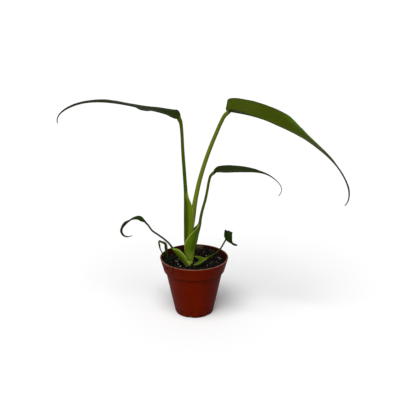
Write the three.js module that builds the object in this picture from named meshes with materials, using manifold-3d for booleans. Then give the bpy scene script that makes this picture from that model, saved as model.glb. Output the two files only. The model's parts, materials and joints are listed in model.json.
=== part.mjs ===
// A young aroid with narrow drip-tip leaves, growing in a 5.5 cm nursery pot.
// Millimetres, +Z up. The origin is the middle of the pot's flat bottom,
// +X is the side of the newest leaf, and +Y points away from the front.
import * as THREE from 'three';
import { mergeVertices } from 'three/addons/utils/BufferGeometryUtils.js';
import Module from 'manifold-3d';

const wasm = await Module();
wasm.setup();

// Driving dimensions of the pot
const POT_RIM_RADIUS = 27.5;
const POT_HEIGHT = 47;
const POT_BOTTOM_RADIUS = 15.5;
const POT_WALL = 1;
const POT_FLOOR = 1.2;
const COLLAR_HEIGHT = 11;
const COLLAR_FOOT_RADIUS = 24.4;
const BODY_TOP_RADIUS = 23;
const LIP_ROUNDING = 0.4;
const POT_SEGMENTS = 48;
const DRAIN_SLOTS = 6;
const DRAIN_SLOT = { width: 4, depth: 3, height: 1.3, firstAngle: -102 };
const DRAIN_HOLES = 4;
const DRAIN_HOLE = { radius: 2, ring: 8, segments: 12 };

// Driving dimensions of the soil and its surface
const SOIL_LEVEL = 43.2;
const SOIL_SEGMENTS = 44;
const SOIL_RINGS = 13;
const SOIL_LUMPS = 46;
const SOIL_SEED = 7;
const SOIL_EDGE_DROP = 0.6;
const LUMP_HEIGHT = { least: 0.4, range: 1.3 };
const LUMP_SPREAD = { least: 1.1, range: 1.3 };
const LUMP_REACH = 23;
const MOSS_MOUND = { x: -19, y: 0, height: 1.6, spread: 7 };
const BACK_MOUND = { x: 6, y: 18, height: 2.3, spread: 9 };
const BACK_HOLLOW = { x: -14, y: 17, height: -2.2, spread: 6 };
const SIDE_HOLLOW = { x: 22, y: 3, height: -1.6, spread: 6 };

// Driving dimensions of the crown and its roots
const CROWN = { x: -4, y: -8.3, top: 46.4, foot: 24, segments: 20 };
const CROWN_OUTLINE = [[2.3, 33], [2.9, 39], [2.9, 43]];
const CROWN_FOOT_RADIUS = 0.9;
const ROOTS = 5;
const ROOT = { radius: 0.8, reach: 6.5, drop: 15, start: 36, stagger: 1.5, sides: 6, steps: 5 };

// Clearance between neighbouring solids, and the thickness of the leaves
const GAP = 0.3;
const JOINT_GAP = 0.5;
const BLADE_THICKNESS = 0.7;
const WING_THICKNESS = 0.65;
const LEAST_HALF_WIDTH = 0.4;
const AWAY = new THREE.Vector3(0, 1, 0);

const ROUGHNESS = { pot: 0.4, soil: 1, crown: 0.5, stalk: 0.45, blade: 0.4 };

const COLOURS = {
  pot: '#8a2f12',
  soil: '#2b2019',
  crown: '#9aa648',
  paleStalk: '#7f9a2c',
  midStalk: '#6b8a22',
  darkStalk: '#5f7f1e',
  newBlade: '#66811c',
  darkBlade: '#33480f',
};

// Leaves, oldest last. A spine is the middle line of a stalk or the midrib of a blade.
// Every other list holds [place along the spine from 0 to 1, value] stops.
// heading is -1 for a leaf that goes left and 1 for one that goes right.
// radius is the stalk's own half-thickness, clasp the radius of the space that its
// sheath wraps, wrapNear and wrapFar how far round the two wings reach in degrees,
// and sheath how much of the section is sheath (1) or plain grooved stalk (0).
// half is a blade's half-width, and near and far are the folds of its two halves.
const TALL_LEFT = {
  name: 'tall_left',
  heading: -1,
  stalk: {
    colour: COLOURS.midStalk,
    stations: 26,
    arcPoints: 11,
    spine: [
      [-5.4, -8.3, 46.7], [-6, -8.3, 50.8], [-6.2, -8.2, 56], [-6.35, -8, 63], [-6.25, -7.5, 75],
      [-6.2, -6.8, 86], [-6.1, -5.6, 96], [-6.3, -4, 104], [-7.2, -1, 119], [-8.3, 1.5, 133],
      [-9.3, 3.2, 148], [-10.4, 4, 155.5], [-12, 4.2, 158.6],
    ],
    radius: [[0, 0.5], [0.04, 0.75], [0.09, 1.1], [0.14, 1.45], [0.25, 1.65], [0.44, 1.7],
      [0.51, 1.5], [0.71, 1.3], [1, 1.15]],
    clasp: [[0, 1.05], [0.04, 1.55], [0.09, 1.95], [0.14, 2.5], [0.25, 2.8], [0.44, 2.8],
      [0.52, 3.2], [1, 2.9]],
    wrapNear: [[0, 88], [0.14, 104], [0.25, 122], [0.35, 112], [0.42, 86], [0.47, 46], [0.52, 26],
      [1, 23]],
    wrapFar: [[0, 88], [0.14, 104], [0.25, 118], [0.35, 104], [0.42, 76], [0.47, 40], [0.52, 26],
      [1, 23]],
    sheath: [[0, 1], [0.42, 1], [0.52, 0], [1, 0]],
  },
  blade: {
    colour: COLOURS.darkBlade,
    stations: 32,
    spine: [
      [-17.3, 5, 161], [-23, 6, 162.6], [-30.8, 7, 164.3], [-39, 8, 165.6], [-48.6, 9, 168.2],
      [-58, 10, 169.7], [-67, 11, 170.6], [-73.5, 11.5, 170.8], [-80, 12, 170.4],
      [-86, 12.5, 169.3], [-92.5, 13, 167.2], [-98.5, 13.5, 164.3], [-103.3, 14, 160.6],
      [-105.8, 14, 156.6], [-106, 14, 152.6],
    ],
    half: [[0, 1.2], [0.012, 4.4], [0.03, 7.6], [0.07, 10], [0.16, 11], [0.35, 10.8], [0.55, 9.2],
      [0.72, 6.6], [0.85, 3.6], [0.93, 1.5], [1, 0.5]],
    far: [[0, 46], [0.04, 38], [0.08, 24], [0.13, 13], [0.22, 7], [0.37, 0], [0.5, 3], [0.65, 8],
      [1, 10]],
    near: [[0, 16], [0.1, 11], [0.2, 10], [0.26, 4], [0.31, 6], [0.38, 13], [0.5, 12], [0.7, 8],
      [1, 8]],
    roll: [[0, 0], [1, 0]],
    lobe: 9,
    curl: 0.08,
    wave: { depth: 0.3, count: 3, phase: 0.6 },
  },
};
const TALL_RIGHT = {
  name: 'tall_right',
  heading: 1,
  stalk: {
    colour: COLOURS.paleStalk,
    stations: 24,
    arcPoints: 9,
    spine: [
      [-4, -8.3, 46.7], [-4, -8.3, 50.8], [-3.7, -8.2, 56], [-2.95, -8, 63], [-2.2, -7.5, 75],
      [-1.2, -7, 82], [0.1, -5.9, 92], [1.8, -4.8, 101.2], [3.9, -3.6, 110.5], [6.5, -2, 119.6],
      [9.5, 0, 128.5], [12.9, 2, 137.5], [16.7, 4, 146.4], [20.6, 5.6, 155.2], [23.2, 6.3, 160],
      [26, 6.8, 162.8],
    ],
    radius: [[0, 0.65], [0.033, 1.05], [0.08, 1.35], [0.13, 1.9], [0.23, 2.25], [0.32, 2.3],
      [0.44, 1.9], [0.565, 1.65], [0.76, 1.45], [1, 1.3]],
    clasp: [[0, 1.6], [0.033, 2.5], [0.13, 4.2], [0.23, 5], [0.44, 4.5], [1, 3.25]],
    wrapNear: [[0, 23], [1, 23]],
    wrapFar: [[0, 23], [1, 23]],
    sheath: [[0, 0], [1, 0]],
  },
  blade: {
    colour: COLOURS.newBlade,
    stations: 34,
    spine: [
      [33.5, 6.5, 163], [46.3, 5, 160.2], [60, 3, 155.6], [73.8, 0, 149.8], [83, -2, 144.7],
      [92, -4, 138.6], [101.2, -6, 131.3], [108.7, -8, 123.4], [115, -9.5, 114],
      [118.4, -10.2, 106], [119, -10.6, 100.6], [118.1, -11, 96.6], [116, -11, 93.4],
    ],
    half: [[0, 1.3], [0.01, 5], [0.025, 8.8], [0.06, 12], [0.15, 13.2], [0.35, 12.6], [0.5, 10.4],
      [0.65, 7.4], [0.8, 4.2], [0.9, 1.9], [1, 0.5]],
    far: [[0, 54], [0.1, 49], [0.36, 48], [0.46, 26], [0.56, 12], [0.7, 8], [1, 8]],
    near: [[0, 22], [0.15, 10], [0.4, 8], [0.6, 6], [1, 8]],
    roll: [[0, 0], [1, 0]],
    lobe: 9,
    curl: 0.06,
    wave: { depth: 0.4, count: 2, phase: 0 },
  },
};
const MIDDLE_RIGHT = {
  name: 'middle_right',
  heading: 1,
  stalk: {
    colour: COLOURS.darkStalk,
    stations: 26,
    arcPoints: 13,
    spine: [
      [-1.4, -8.35, 46.7], [-0.95, -8.35, 50.8], [-0.5, -8.2, 56], [1.1, -8, 63], [2.6, -8, 70],
      [4.3, -8.8, 77], [5.1, -10, 83.6], [6.4, -11.3, 90.3], [8.2, -12.5, 98.6],
      [9.9, -13.4, 106.8], [11.2, -14, 114], [12.9, -14.4, 118], [15.3, -14.8, 120.7],
    ],
    radius: [[0, 0.55], [0.05, 0.8], [0.12, 1.15], [0.21, 1.5], [0.31, 1.45], [0.4, 1.3],
      [0.52, 1.1], [0.72, 0.95], [1, 0.9]],
    clasp: [[0, 2], [0.05, 2.75], [0.12, 3.3], [0.21, 4.15], [0.31, 4.1], [0.4, 3.6], [0.52, 2.8],
      [1, 2.25]],
    wrapNear: [[0, 130], [0.06, 140], [0.12, 146], [0.21, 130], [0.31, 92], [0.37, 56], [0.42, 30],
      [0.47, 24], [1, 23]],
    wrapFar: [[0, 118], [0.06, 130], [0.12, 138], [0.21, 120], [0.31, 82], [0.37, 50], [0.42, 30],
      [0.47, 24], [1, 23]],
    sheath: [[0, 1], [0.36, 1], [0.45, 0], [1, 0]],
  },
  blade: {
    colour: COLOURS.darkBlade,
    stations: 28,
    spine: [
      [21, -15.6, 122.6], [28.5, -16.5, 123.3], [38, -17.6, 123.3], [44.7, -18.6, 123],
      [50.6, -19.5, 122.2], [55.4, -20.2, 120.5], [59.8, -21, 117.6], [63.4, -22, 113.8],
      [64.9, -22.6, 110.4], [64.4, -23, 107.6], [62.9, -23, 105.2],
    ],
    half: [[0, 0.9], [0.02, 2.8], [0.05, 5.2], [0.12, 7.8], [0.25, 8.6], [0.42, 7], [0.56, 4.6],
      [0.7, 2], [0.82, 0.8], [1, 0.4]],
    far: [[0, 30], [0.1, 18], [0.4, 14], [0.7, 10], [1, 6]],
    near: [[0, 18], [0.1, 10], [0.4, 9], [0.7, 9], [1, 6]],
    roll: [[0, 0], [1, 0]],
    lobe: 3,
    curl: 0.06,
    wave: { depth: 0.3, count: 2, phase: 1 },
  },
};
const LOW_LEFT = {
  name: 'low_left',
  heading: -1,
  stalk: {
    colour: COLOURS.paleStalk,
    stations: 20,
    arcPoints: 9,
    spine: [
      [-5.2, -13.3, 45.6], [-8.8, -13.1, 49.9], [-13.3, -12.2, 54.7], [-17.3, -11.5, 58.8],
      [-23.4, -10.8, 65.6], [-28, -10.4, 69.8], [-32.3, -10.2, 73], [-35.5, -10, 77],
      [-38.6, -10, 80.8],
    ],
    radius: [[0, 1], [0.12, 1.2], [0.28, 0.95], [0.4, 0.65], [0.7, 0.55], [1, 0.5]],
    clasp: [[0, 2.1], [0.15, 2.5], [0.28, 2], [0.4, 1.6], [1, 1.2]],
    wrapNear: [[0, 84], [0.12, 96], [0.22, 84], [0.3, 40], [0.38, 24], [1, 23]],
    wrapFar: [[0, 36], [0.12, 56], [0.22, 66], [0.3, 36], [0.38, 24], [1, 23]],
    sheath: [[0, 1], [0.24, 1], [0.36, 0], [1, 0]],
  },
  blade: {
    colour: COLOURS.darkBlade,
    stations: 22,
    spine: [
      [-41.3, -10, 82.8], [-44, -10, 83.8], [-46.8, -10, 83.4], [-50, -10, 81.3], [-54, -10, 77.4],
      [-56.3, -10, 74.4], [-56.5, -10, 71.8], [-54.7, -10, 69.2], [-51.8, -10, 67.9],
      [-49.5, -10, 68.4], [-48, -10, 70.2],
    ],
    half: [[0, 0.7], [0.04, 2], [0.14, 3.6], [0.3, 4.1], [0.55, 3.4], [0.75, 2.2], [0.9, 1.2],
      [1, 0.5]],
    far: [[0, 36], [0.2, 24], [1, 18]],
    near: [[0, 20], [0.2, 6], [1, 12]],
    roll: [[0, 0], [1, 0]],
    lobe: 2,
    curl: 0.05,
    wave: { depth: 0.2, count: 2, phase: 0 },
  },
};
const LOW_RIGHT = {
  name: 'low_right',
  heading: 1,
  stalk: {
    colour: COLOURS.paleStalk,
    stations: 20,
    arcPoints: 9,
    spine: [
      [-0.6, -12.2, 45.2], [3.9, -12.9, 47], [8.6, -13.3, 49.1], [13.4, -13.4, 52.8],
      [17.3, -13.3, 55.7], [20.2, -12.6, 58.4], [22.7, -12, 62.4], [24.8, -10.8, 66],
      [25.8, -9.6, 69.5], [26, -9.5, 71.8], [26.15, -10.1, 73.1], [26.4, -11.1, 73.6],
    ],
    radius: [[0, 0.9], [0.12, 1.1], [0.24, 0.9], [0.36, 0.65], [0.7, 0.55], [1, 0.5]],
    clasp: [[0, 1.6], [0.15, 1.8], [0.26, 1.8], [0.36, 1.6], [1, 1.1]],
    wrapNear: [[0, 76], [0.12, 78], [0.22, 56], [0.3, 26], [0.38, 23], [1, 23]],
    wrapFar: [[0, 90], [0.12, 104], [0.22, 96], [0.27, 50], [0.34, 23], [1, 23]],
    sheath: [[0, 1], [0.22, 1], [0.34, 0], [1, 0]],
  },
  blade: {
    colour: COLOURS.darkBlade,
    stations: 16,
    spine: [
      [27, -13.6, 72.6], [27.4, -13.9, 70.2], [28, -13.8, 67.4], [29.5, -13.5, 64.8],
      [31.2, -13.4, 63.1], [33.8, -13.4, 62.2],
    ],
    half: [[0, 0.7], [0.05, 2.1], [0.15, 3.1], [0.33, 3.2], [0.5, 2.3], [0.65, 1.1], [0.8, 0.6],
      [1, 0.45]],
    far: [[0, 18], [1, 10]],
    near: [[0, 18], [1, 10]],
    roll: [[0, 50], [0.06, 74], [0.2, 72], [1, 72]],
    lobe: 3,
    curl: 0.12,
    wave: { depth: 0.3, count: 1.5, phase: 0 },
  },
};
const LEAVES = [TALL_LEFT, TALL_RIGHT, MIDDLE_RIGHT, LOW_LEFT, LOW_RIGHT];

// A bent shoot at the left rim: up out of the soil, over a sharp bend, and back down
const BENT_SHOOT = {
  heading: -1,
  stations: 24,
  arcPoints: 6,
  spine: [
    [-21.9, 5, 41], [-22.4, 4.6, 46], [-23, 4.2, 52], [-23.2, 4, 57], [-23.8, 4, 59.6],
    [-25.6, 4, 60.6], [-27.8, 4, 60.2], [-28.4, 3.8, 58], [-27.8, 3.4, 55], [-26.6, 3, 51.6],
    [-25.3, 2.6, 48.4],
  ],
  radius: [[0, 1], [0.3, 1.1], [0.5, 0.9], [0.62, 0.9], [0.72, 0.5], [1, 0.4]],
  clasp: [[0, 2.6], [1, 2.6]],
  wrapNear: [[0, 24], [0.6, 22], [0.72, 12], [1, 10]],
  wrapFar: [[0, 24], [0.6, 22], [0.72, 12], [1, 10]],
  sheath: [[0, 0], [1, 0]],
};
const SHOOT_HOLE = { radius: 1.8, height: 12, segments: 12 };

// A small repeatable random generator, so that the soil is the same each time
function seededRandom(seed) {
  let state = seed;
  return () => {
    state = (state * 16807) % 2147483647;
    return state / 2147483647;
  };
}

// Shared vertices merged, with only positions left
function toSolid(geometry) {
  const bare = geometry.clone();
  bare.deleteAttribute('normal');
  bare.deleteAttribute('uv');
  const merged = mergeVertices(bare, 1e-4);
  return new wasm.Manifold(new wasm.Mesh({
    numProp: 3,
    vertProperties: merged.getAttribute('position').array,
    triVerts: Uint32Array.from(merged.getIndex().array),
  }));
}

function toGeometry(solid) {
  const mesh = solid.getMesh();
  const geometry = new THREE.BufferGeometry();
  const positions = Float32Array.from(mesh.vertProperties);
  geometry.setAttribute('position', new THREE.BufferAttribute(positions, 3));
  geometry.setIndex(new THREE.BufferAttribute(Uint32Array.from(mesh.triVerts), 1));
  geometry.computeVertexNormals();
  return geometry;
}

// A smooth value along a spine from [place, value] stops
function profile(stops) {
  const places = stops.map(([place]) => place);
  const values = stops.map(([, value]) => value);
  const spline = new THREE.CubicInterpolant(places, values, 1, new Float32Array(1));
  return (place) => spline.evaluate(place)[0];
}

function spineCurve(spine) {
  return new THREE.CatmullRomCurve3(spine.map((point) => new THREE.Vector3(...point)));
}

// The closed surface over indexed points, turned so that its faces point out
function closedSurface(points, triangles) {
  const edge = new THREE.Vector3();
  const volume = triangles.reduce((sum, [a, b, c]) => (
    sum + edge.crossVectors(points[b], points[c]).dot(points[a])), 0);
  const outward = volume > 0 ? triangles : triangles.map(([a, b, c]) => [a, c, b]);
  const geometry = new THREE.BufferGeometry().setFromPoints(points);
  geometry.setIndex(outward.flat());
  geometry.computeVertexNormals();
  return geometry;
}

// Two triangles for each cell of a grid of point numbers
function gridTriangles(rows) {
  const triangles = [];
  for (let i = 0; i < rows.length - 1; i += 1) {
    for (let j = 0; j < rows[i].length - 1; j += 1) {
      const [a, b, c, d] = [rows[i][j], rows[i][j + 1], rows[i + 1][j + 1], rows[i + 1][j]];
      triangles.push([a, b, c], [a, c, d]);
    }
  }
  return triangles;
}

// Place and directions on a spine: along it, to the far side, and to the leaf's upper face
function frameAt(curve, place, heading, rollDegrees) {
  const point = curve.getPointAt(place);
  const along = curve.getTangentAt(place);
  const far = AWAY.clone().addScaledVector(along, -AWAY.dot(along)).normalize();
  far.applyAxisAngle(along, heading * THREE.MathUtils.degToRad(rollDegrees));
  const up = new THREE.Vector3().crossVectors(along, far).multiplyScalar(heading);
  return { point, along, far, up };
}

// One section of a stalk: an outer arc and an inner arc round the space that it clasps.
// The back is thick, as the stalk itself, and the wings beside it are thin.
function stalkSection(stalk, frame, place, arcPoints) {
  const HOLLOW_FACE = 0.6;
  const BLUNT_EDGE = 0.3;
  const BACK_CROWDING = 1.4;
  const BACK_WIDTH = 1.1;
  const radius = stalk.radiusAt(place);
  const clasp = stalk.claspAt(place);
  const sheath = THREE.MathUtils.clamp(stalk.sheathAt(place), 0, 1);
  const body = (1 + HOLLOW_FACE) * radius;
  const centre = HOLLOW_FACE * radius + clasp;
  const outer = [];
  const inner = [];
  for (let k = 0; k < arcPoints; k += 1) {
    const even = (2 * k) / (arcPoints - 1) - 1;
    const across = Math.sign(even) * Math.abs(even) ** BACK_CROWDING;
    const wrap = across < 0 ? stalk.wrapNearAt(place) : stalk.wrapFarAt(place);
    const angle = across * THREE.MathUtils.degToRad(wrap);
    const roundBack = BLUNT_EDGE + (body - BLUNT_EDGE) * Math.sqrt(Math.max(0, 1 - across * across));
    const beside = (angle * (clasp + radius)) / (BACK_WIDTH * radius);
    const winged = WING_THICKNESS + (body - WING_THICKNESS) * Math.exp(-beside * beside);
    const thickness = THREE.MathUtils.lerp(roundBack, winged, sheath);
    const at = (reach) => frame.point.clone()
      .addScaledVector(frame.far, reach * Math.sin(angle))
      .addScaledVector(frame.up, centre - reach * Math.cos(angle));
    inner.push(at(clasp));
    outer.push(at(clasp + thickness));
  }
  return [...outer, ...inner.reverse()];
}

// A stalk with its sheath, as one closed body along its spine
function stalkGeometry(spec, heading) {
  const { arcPoints } = spec;
  const stalk = {
    radiusAt: profile(spec.radius),
    claspAt: profile(spec.clasp),
    wrapNearAt: profile(spec.wrapNear),
    wrapFarAt: profile(spec.wrapFar),
    sheathAt: profile(spec.sheath),
  };
  const curve = spineCurve(spec.spine);
  const points = [];
  const rows = [];
  for (let i = 0; i <= spec.stations; i += 1) {
    const place = i / spec.stations;
    const section = stalkSection(stalk, frameAt(curve, place, heading, 0), place, arcPoints);
    const row = section.map((_, k) => points.length + k);
    points.push(...section);
    rows.push([...row, row[0]]);
  }
  const triangles = gridTriangles(rows);
  const last = 2 * arcPoints - 1;
  for (const [row, isFirst] of [[rows[0], true], [rows[spec.stations], false]]) {
    for (let k = 0; k < arcPoints - 1; k += 1) {
      const [a, b, c, d] = [row[k], row[last - k], row[last - k - 1], row[k + 1]];
      const cap = isFirst ? [[a, b, c], [a, c, d]] : [[a, c, b], [a, d, c]];
      triangles.push(...cap);
    }
  }
  return closedSurface(points, triangles);
}

// The middle surface of a blade: two halves folded up from the midrib, with a curled
// and waved margin, and lobes that reach back past the stalk
function bladeSurface(spec, heading, start, onward, acrossPoints) {
  const LOBE_END = 0.3;
  const CROWDING = 1.3;
  const RIPPLE_SHARE = 1 / 12;
  const [halfAt, farAt, nearAt, rollAt] = [spec.half, spec.far, spec.near, spec.roll].map(profile);
  const widest = Math.max(...spec.half.map(([, half]) => half));
  const curve = spineCurve([start.toArray(), start.clone().add(onward).toArray(), ...spec.spine]);
  const surface = [];
  for (let i = 0; i <= spec.stations; i += 1) {
    const place = (i / spec.stations) ** CROWDING;
    const frame = frameAt(curve, place, heading, rollAt(place));
    const half = Math.max(halfAt(place), LEAST_HALF_WIDTH);
    const back = spec.lobe * Math.max(0, 1 - place / LOBE_END);
    const turns = spec.wave.count * place + spec.wave.phase;
    const wave = spec.wave.depth * Math.sin(2 * Math.PI * turns);
    const row = [];
    for (let j = 0; j < acrossPoints; j += 1) {
      const across = (2 * j) / (acrossPoints - 1) - 1;
      const reach = Math.abs(across);
      const fold = THREE.MathUtils.degToRad(across > 0 ? farAt(place) : nearAt(place));
      const outward = reach * half;
      const lift = (RIPPLE_SHARE * wave - spec.curl) * half * reach * reach;
      const sideways = Math.sign(across) * (outward * Math.cos(fold) - lift * Math.sin(fold));
      row.push(frame.point.clone()
        .addScaledVector(frame.far, sideways)
        .addScaledVector(frame.up, outward * Math.sin(fold) + lift * Math.cos(fold))
        .addScaledVector(frame.along, -back * (outward / widest) ** 2));
    }
    surface.push(row);
  }
  return surface;
}

// Direction square to a surface at each of its grid points
function surfaceNormals(surface, heading) {
  const rowsLast = surface.length - 1;
  const crossLast = surface[0].length - 1;
  return surface.map((row, i) => row.map((_, j) => {
    const along = surface[Math.min(i + 1, rowsLast)][j].clone().sub(surface[Math.max(i - 1, 0)][j]);
    const across = row[Math.min(j + 1, crossLast)].clone().sub(row[Math.max(j - 1, 0)]);
    return along.cross(across).multiplyScalar(heading).normalize();
  }));
}

// A blade as one closed body: the middle surface thickened both ways,
// with the midrib standing out below
function bladeGeometry(spec, heading, start, onward) {
  const ACROSS_POINTS = 7;
  const RIB_WIDTH = 0.34;
  const RIB_DEPTH = { base: 0.9, tip: 0.1, fullAt: 8 };
  const widest = Math.max(...spec.half.map(([, half]) => half));
  const ribAtBase = RIB_DEPTH.base * Math.min(1, widest / RIB_DEPTH.fullAt);
  const surface = bladeSurface(spec, heading, start, onward, ACROSS_POINTS);
  const normals = surfaceNormals(surface, heading);
  const points = [];
  const top = [];
  const bottom = [];
  surface.forEach((row, i) => {
    const rib = ribAtBase * (1 - i / spec.stations) ** 2 + RIB_DEPTH.tip;
    const topRow = [];
    const bottomRow = [];
    row.forEach((point, j) => {
      const reach = Math.abs((2 * j) / (ACROSS_POINTS - 1) - 1);
      const below = BLADE_THICKNESS / 2 + rib * Math.max(0, 1 - reach / RIB_WIDTH);
      topRow.push(points.length);
      points.push(point.clone().addScaledVector(normals[i][j], BLADE_THICKNESS / 2));
      bottomRow.push(points.length);
      points.push(point.clone().addScaledVector(normals[i][j], -below));
    });
    top.push(topRow);
    bottom.push(bottomRow);
  });
  const last = ACROSS_POINTS - 1;
  const flip = ([a, b, c]) => [a, c, b];
  const triangles = [
    ...gridTriangles(top),
    ...gridTriangles(bottom).map(flip),
    ...gridTriangles(top.map((row, i) => [bottom[i][0], row[0]])),
    ...gridTriangles(top.map((row, i) => [row[last], bottom[i][last]])),
    ...gridTriangles([bottom[0], top[0]]),
    ...gridTriangles([top[spec.stations], bottom[spec.stations]]),
  ];
  return closedSurface(points, triangles);
}

// Pot: a thin wall with a collar, cut by drain slots round the bottom edge and drain holes
const collarBottom = POT_HEIGHT - COLLAR_HEIGHT;

function potWallProfile() {
  const innerRim = POT_RIM_RADIUS - POT_WALL;
  return [
    [0, 0], [POT_BOTTOM_RADIUS - LIP_ROUNDING, 0], [POT_BOTTOM_RADIUS, LIP_ROUNDING],
    [BODY_TOP_RADIUS, collarBottom - LIP_ROUNDING], [COLLAR_FOOT_RADIUS, collarBottom],
    [POT_RIM_RADIUS, POT_HEIGHT - LIP_ROUNDING], [POT_RIM_RADIUS - LIP_ROUNDING, POT_HEIGHT],
    [innerRim, POT_HEIGHT], [innerRim - LIP_ROUNDING / 2, POT_HEIGHT - LIP_ROUNDING],
    [COLLAR_FOOT_RADIUS - POT_WALL, collarBottom + POT_WALL],
    [BODY_TOP_RADIUS - POT_WALL, collarBottom - LIP_ROUNDING],
    [POT_BOTTOM_RADIUS - POT_WALL, POT_FLOOR], [0, POT_FLOOR],
  ].map(([r, z]) => new THREE.Vector2(r, z));
}

// A lathe turns about +Y, so it is stood up along +Z
function standingLathe(outline, segments) {
  return new THREE.LatheGeometry(outline, segments).rotateX(Math.PI / 2);
}

function potGeometry() {
  let pot = toSolid(standingLathe(potWallProfile(), POT_SEGMENTS));
  for (let k = 0; k < DRAIN_SLOTS; k += 1) {
    const angle = THREE.MathUtils.degToRad(DRAIN_SLOT.firstAngle + (360 / DRAIN_SLOTS) * k);
    const { width, depth, height } = DRAIN_SLOT;
    const slot = new THREE.BoxGeometry(2 * depth, width, 2 * height);
    slot.translate(POT_BOTTOM_RADIUS + LIP_ROUNDING, 0, 0).rotateZ(angle);
    pot = pot.subtract(toSolid(slot));
  }
  for (let k = 0; k < DRAIN_HOLES; k += 1) {
    const angle = (2 * Math.PI * k) / DRAIN_HOLES;
    const { radius, ring, segments } = DRAIN_HOLE;
    const hole = new THREE.CylinderGeometry(radius, radius, 4 * POT_FLOOR, segments);
    hole.rotateX(Math.PI / 2).translate(ring, 0, 0).rotateZ(angle);
    pot = pot.subtract(toSolid(hole));
  }
  return toGeometry(pot);
}

// Crown: a short stem over a tapered rootstock, with its main roots fused to it
function crownSolid(grow) {
  const [neckRadius] = CROWN_OUTLINE[CROWN_OUTLINE.length - 1];
  const outline = [
    [0, CROWN.foot - grow], [CROWN_FOOT_RADIUS + grow, CROWN.foot - grow],
    ...CROWN_OUTLINE.map(([r, z]) => [r + grow, z]),
    [neckRadius + grow, CROWN.top + grow], [0, CROWN.top + grow],
  ].map(([r, z]) => new THREE.Vector2(r, z));
  let crown = toSolid(standingLathe(outline, CROWN.segments));
  for (let k = 0; k < ROOTS; k += 1) {
    const angle = (2 * Math.PI * (k + 0.3)) / ROOTS;
    const start = ROOT.start - ROOT.stagger * (k % 2);
    const path = new THREE.CatmullRomCurve3([
      [0, start + ROOT.stagger],
      [ROOT.reach / 3, start],
      [0.75 * ROOT.reach, start - 0.4 * ROOT.drop],
      [ROOT.reach + grow / 2, start - ROOT.drop - grow],
    ].map(([reach, z]) => new THREE.Vector3(reach * Math.cos(angle), reach * Math.sin(angle), z)));
    const section = new THREE.Shape();
    section.absarc(0, 0, ROOT.radius + grow, 0, 2 * Math.PI);
    const root = new THREE.ExtrudeGeometry(section, {
      steps: ROOT.steps, curveSegments: ROOT.sides / 2, extrudePath: path,
    });
    crown = crown.add(toSolid(root));
  }
  return crown.translate([CROWN.x, CROWN.y, 0]);
}

// Soil surface: a level with mounds, hollows and seeded lumps
function soilHeights() {
  const random = seededRandom(SOIL_SEED);
  const features = [MOSS_MOUND, BACK_MOUND, BACK_HOLLOW, SIDE_HOLLOW];
  for (let k = 0; k < SOIL_LUMPS; k += 1) {
    const angle = 2 * Math.PI * random();
    const reach = LUMP_REACH * Math.sqrt(random());
    features.push({
      x: reach * Math.cos(angle),
      y: reach * Math.sin(angle),
      height: LUMP_HEIGHT.least + LUMP_HEIGHT.range * random(),
      spread: LUMP_SPREAD.least + LUMP_SPREAD.range * random(),
    });
  }
  return (x, y) => features.reduce((height, lump) => {
    const square = ((x - lump.x) ** 2 + (y - lump.y) ** 2) / lump.spread ** 2;
    return height + lump.height * Math.exp(-square);
  }, SOIL_LEVEL);
}

// The pot's inner radius at a height, less the clearance
function soilRadius(z) {
  const wall = potWallProfile().slice(8, 12);
  const above = Math.max(1, wall.findIndex((corner) => corner.y <= z));
  const [upper, lower] = [wall[above - 1], wall[above]];
  const share = (z - lower.y) / (upper.y - lower.y);
  return THREE.MathUtils.lerp(lower.x, upper.x, share) - GAP;
}

function soilGeometry() {
  const heightAt = soilHeights();
  const lowerRings = [collarBottom + POT_WALL, collarBottom - LIP_ROUNDING, POT_FLOOR + GAP];
  const edgeAt = (angle) => {
    const nearEdge = COLLAR_FOOT_RADIUS;
    const height = heightAt(nearEdge * Math.cos(angle), nearEdge * Math.sin(angle));
    return soilRadius(height - SOIL_EDGE_DROP);
  };
  const points = [];
  const rows = [];
  const addRing = (radiusAt, zAt) => {
    const row = [];
    for (let k = 0; k < SOIL_SEGMENTS; k += 1) {
      const angle = (2 * Math.PI * k) / SOIL_SEGMENTS;
      const radius = radiusAt(angle);
      const [x, y] = [radius * Math.cos(angle), radius * Math.sin(angle)];
      row.push(points.length);
      points.push(new THREE.Vector3(x, y, zAt(x, y)));
    }
    rows.push([...row, row[0]]);
  };
  for (let ring = 1; ring <= SOIL_RINGS; ring += 1) {
    addRing((angle) => (edgeAt(angle) * ring) / SOIL_RINGS, heightAt);
  }
  lowerRings.forEach((z) => addRing(() => soilRadius(z), () => z));
  const triangles = gridTriangles(rows);
  const fan = (row, z) => {
    const hub = points.length;
    points.push(new THREE.Vector3(0, 0, z));
    return row.slice(0, -1).map((from, k) => [hub, from, row[k + 1]]);
  };
  triangles.push(...fan(rows[0], heightAt(0, 0)).map(([a, b, c]) => [a, c, b]));
  triangles.push(...fan(rows[rows.length - 1], POT_FLOOR + GAP));
  let soil = toSolid(closedSurface(points, triangles)).subtract(crownSolid(GAP));
  const [shootX, shootY, shootZ] = BENT_SHOOT.spine[0];
  const { radius, height, segments } = SHOOT_HOLE;
  const shootHole = new THREE.CylinderGeometry(radius, radius, height, segments);
  shootHole.rotateX(Math.PI / 2).translate(shootX, shootY, shootZ - GAP + height / 2);
  soil = soil.subtract(toSolid(shootHole));
  return toGeometry(soil);
}

function namedMesh(name, geometry, colour, roughness) {
  const material = new THREE.MeshStandardMaterial({ color: colour, roughness, metalness: 0 });
  material.name = name;
  const mesh = new THREE.Mesh(geometry, material);
  mesh.name = name;
  return mesh;
}

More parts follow.
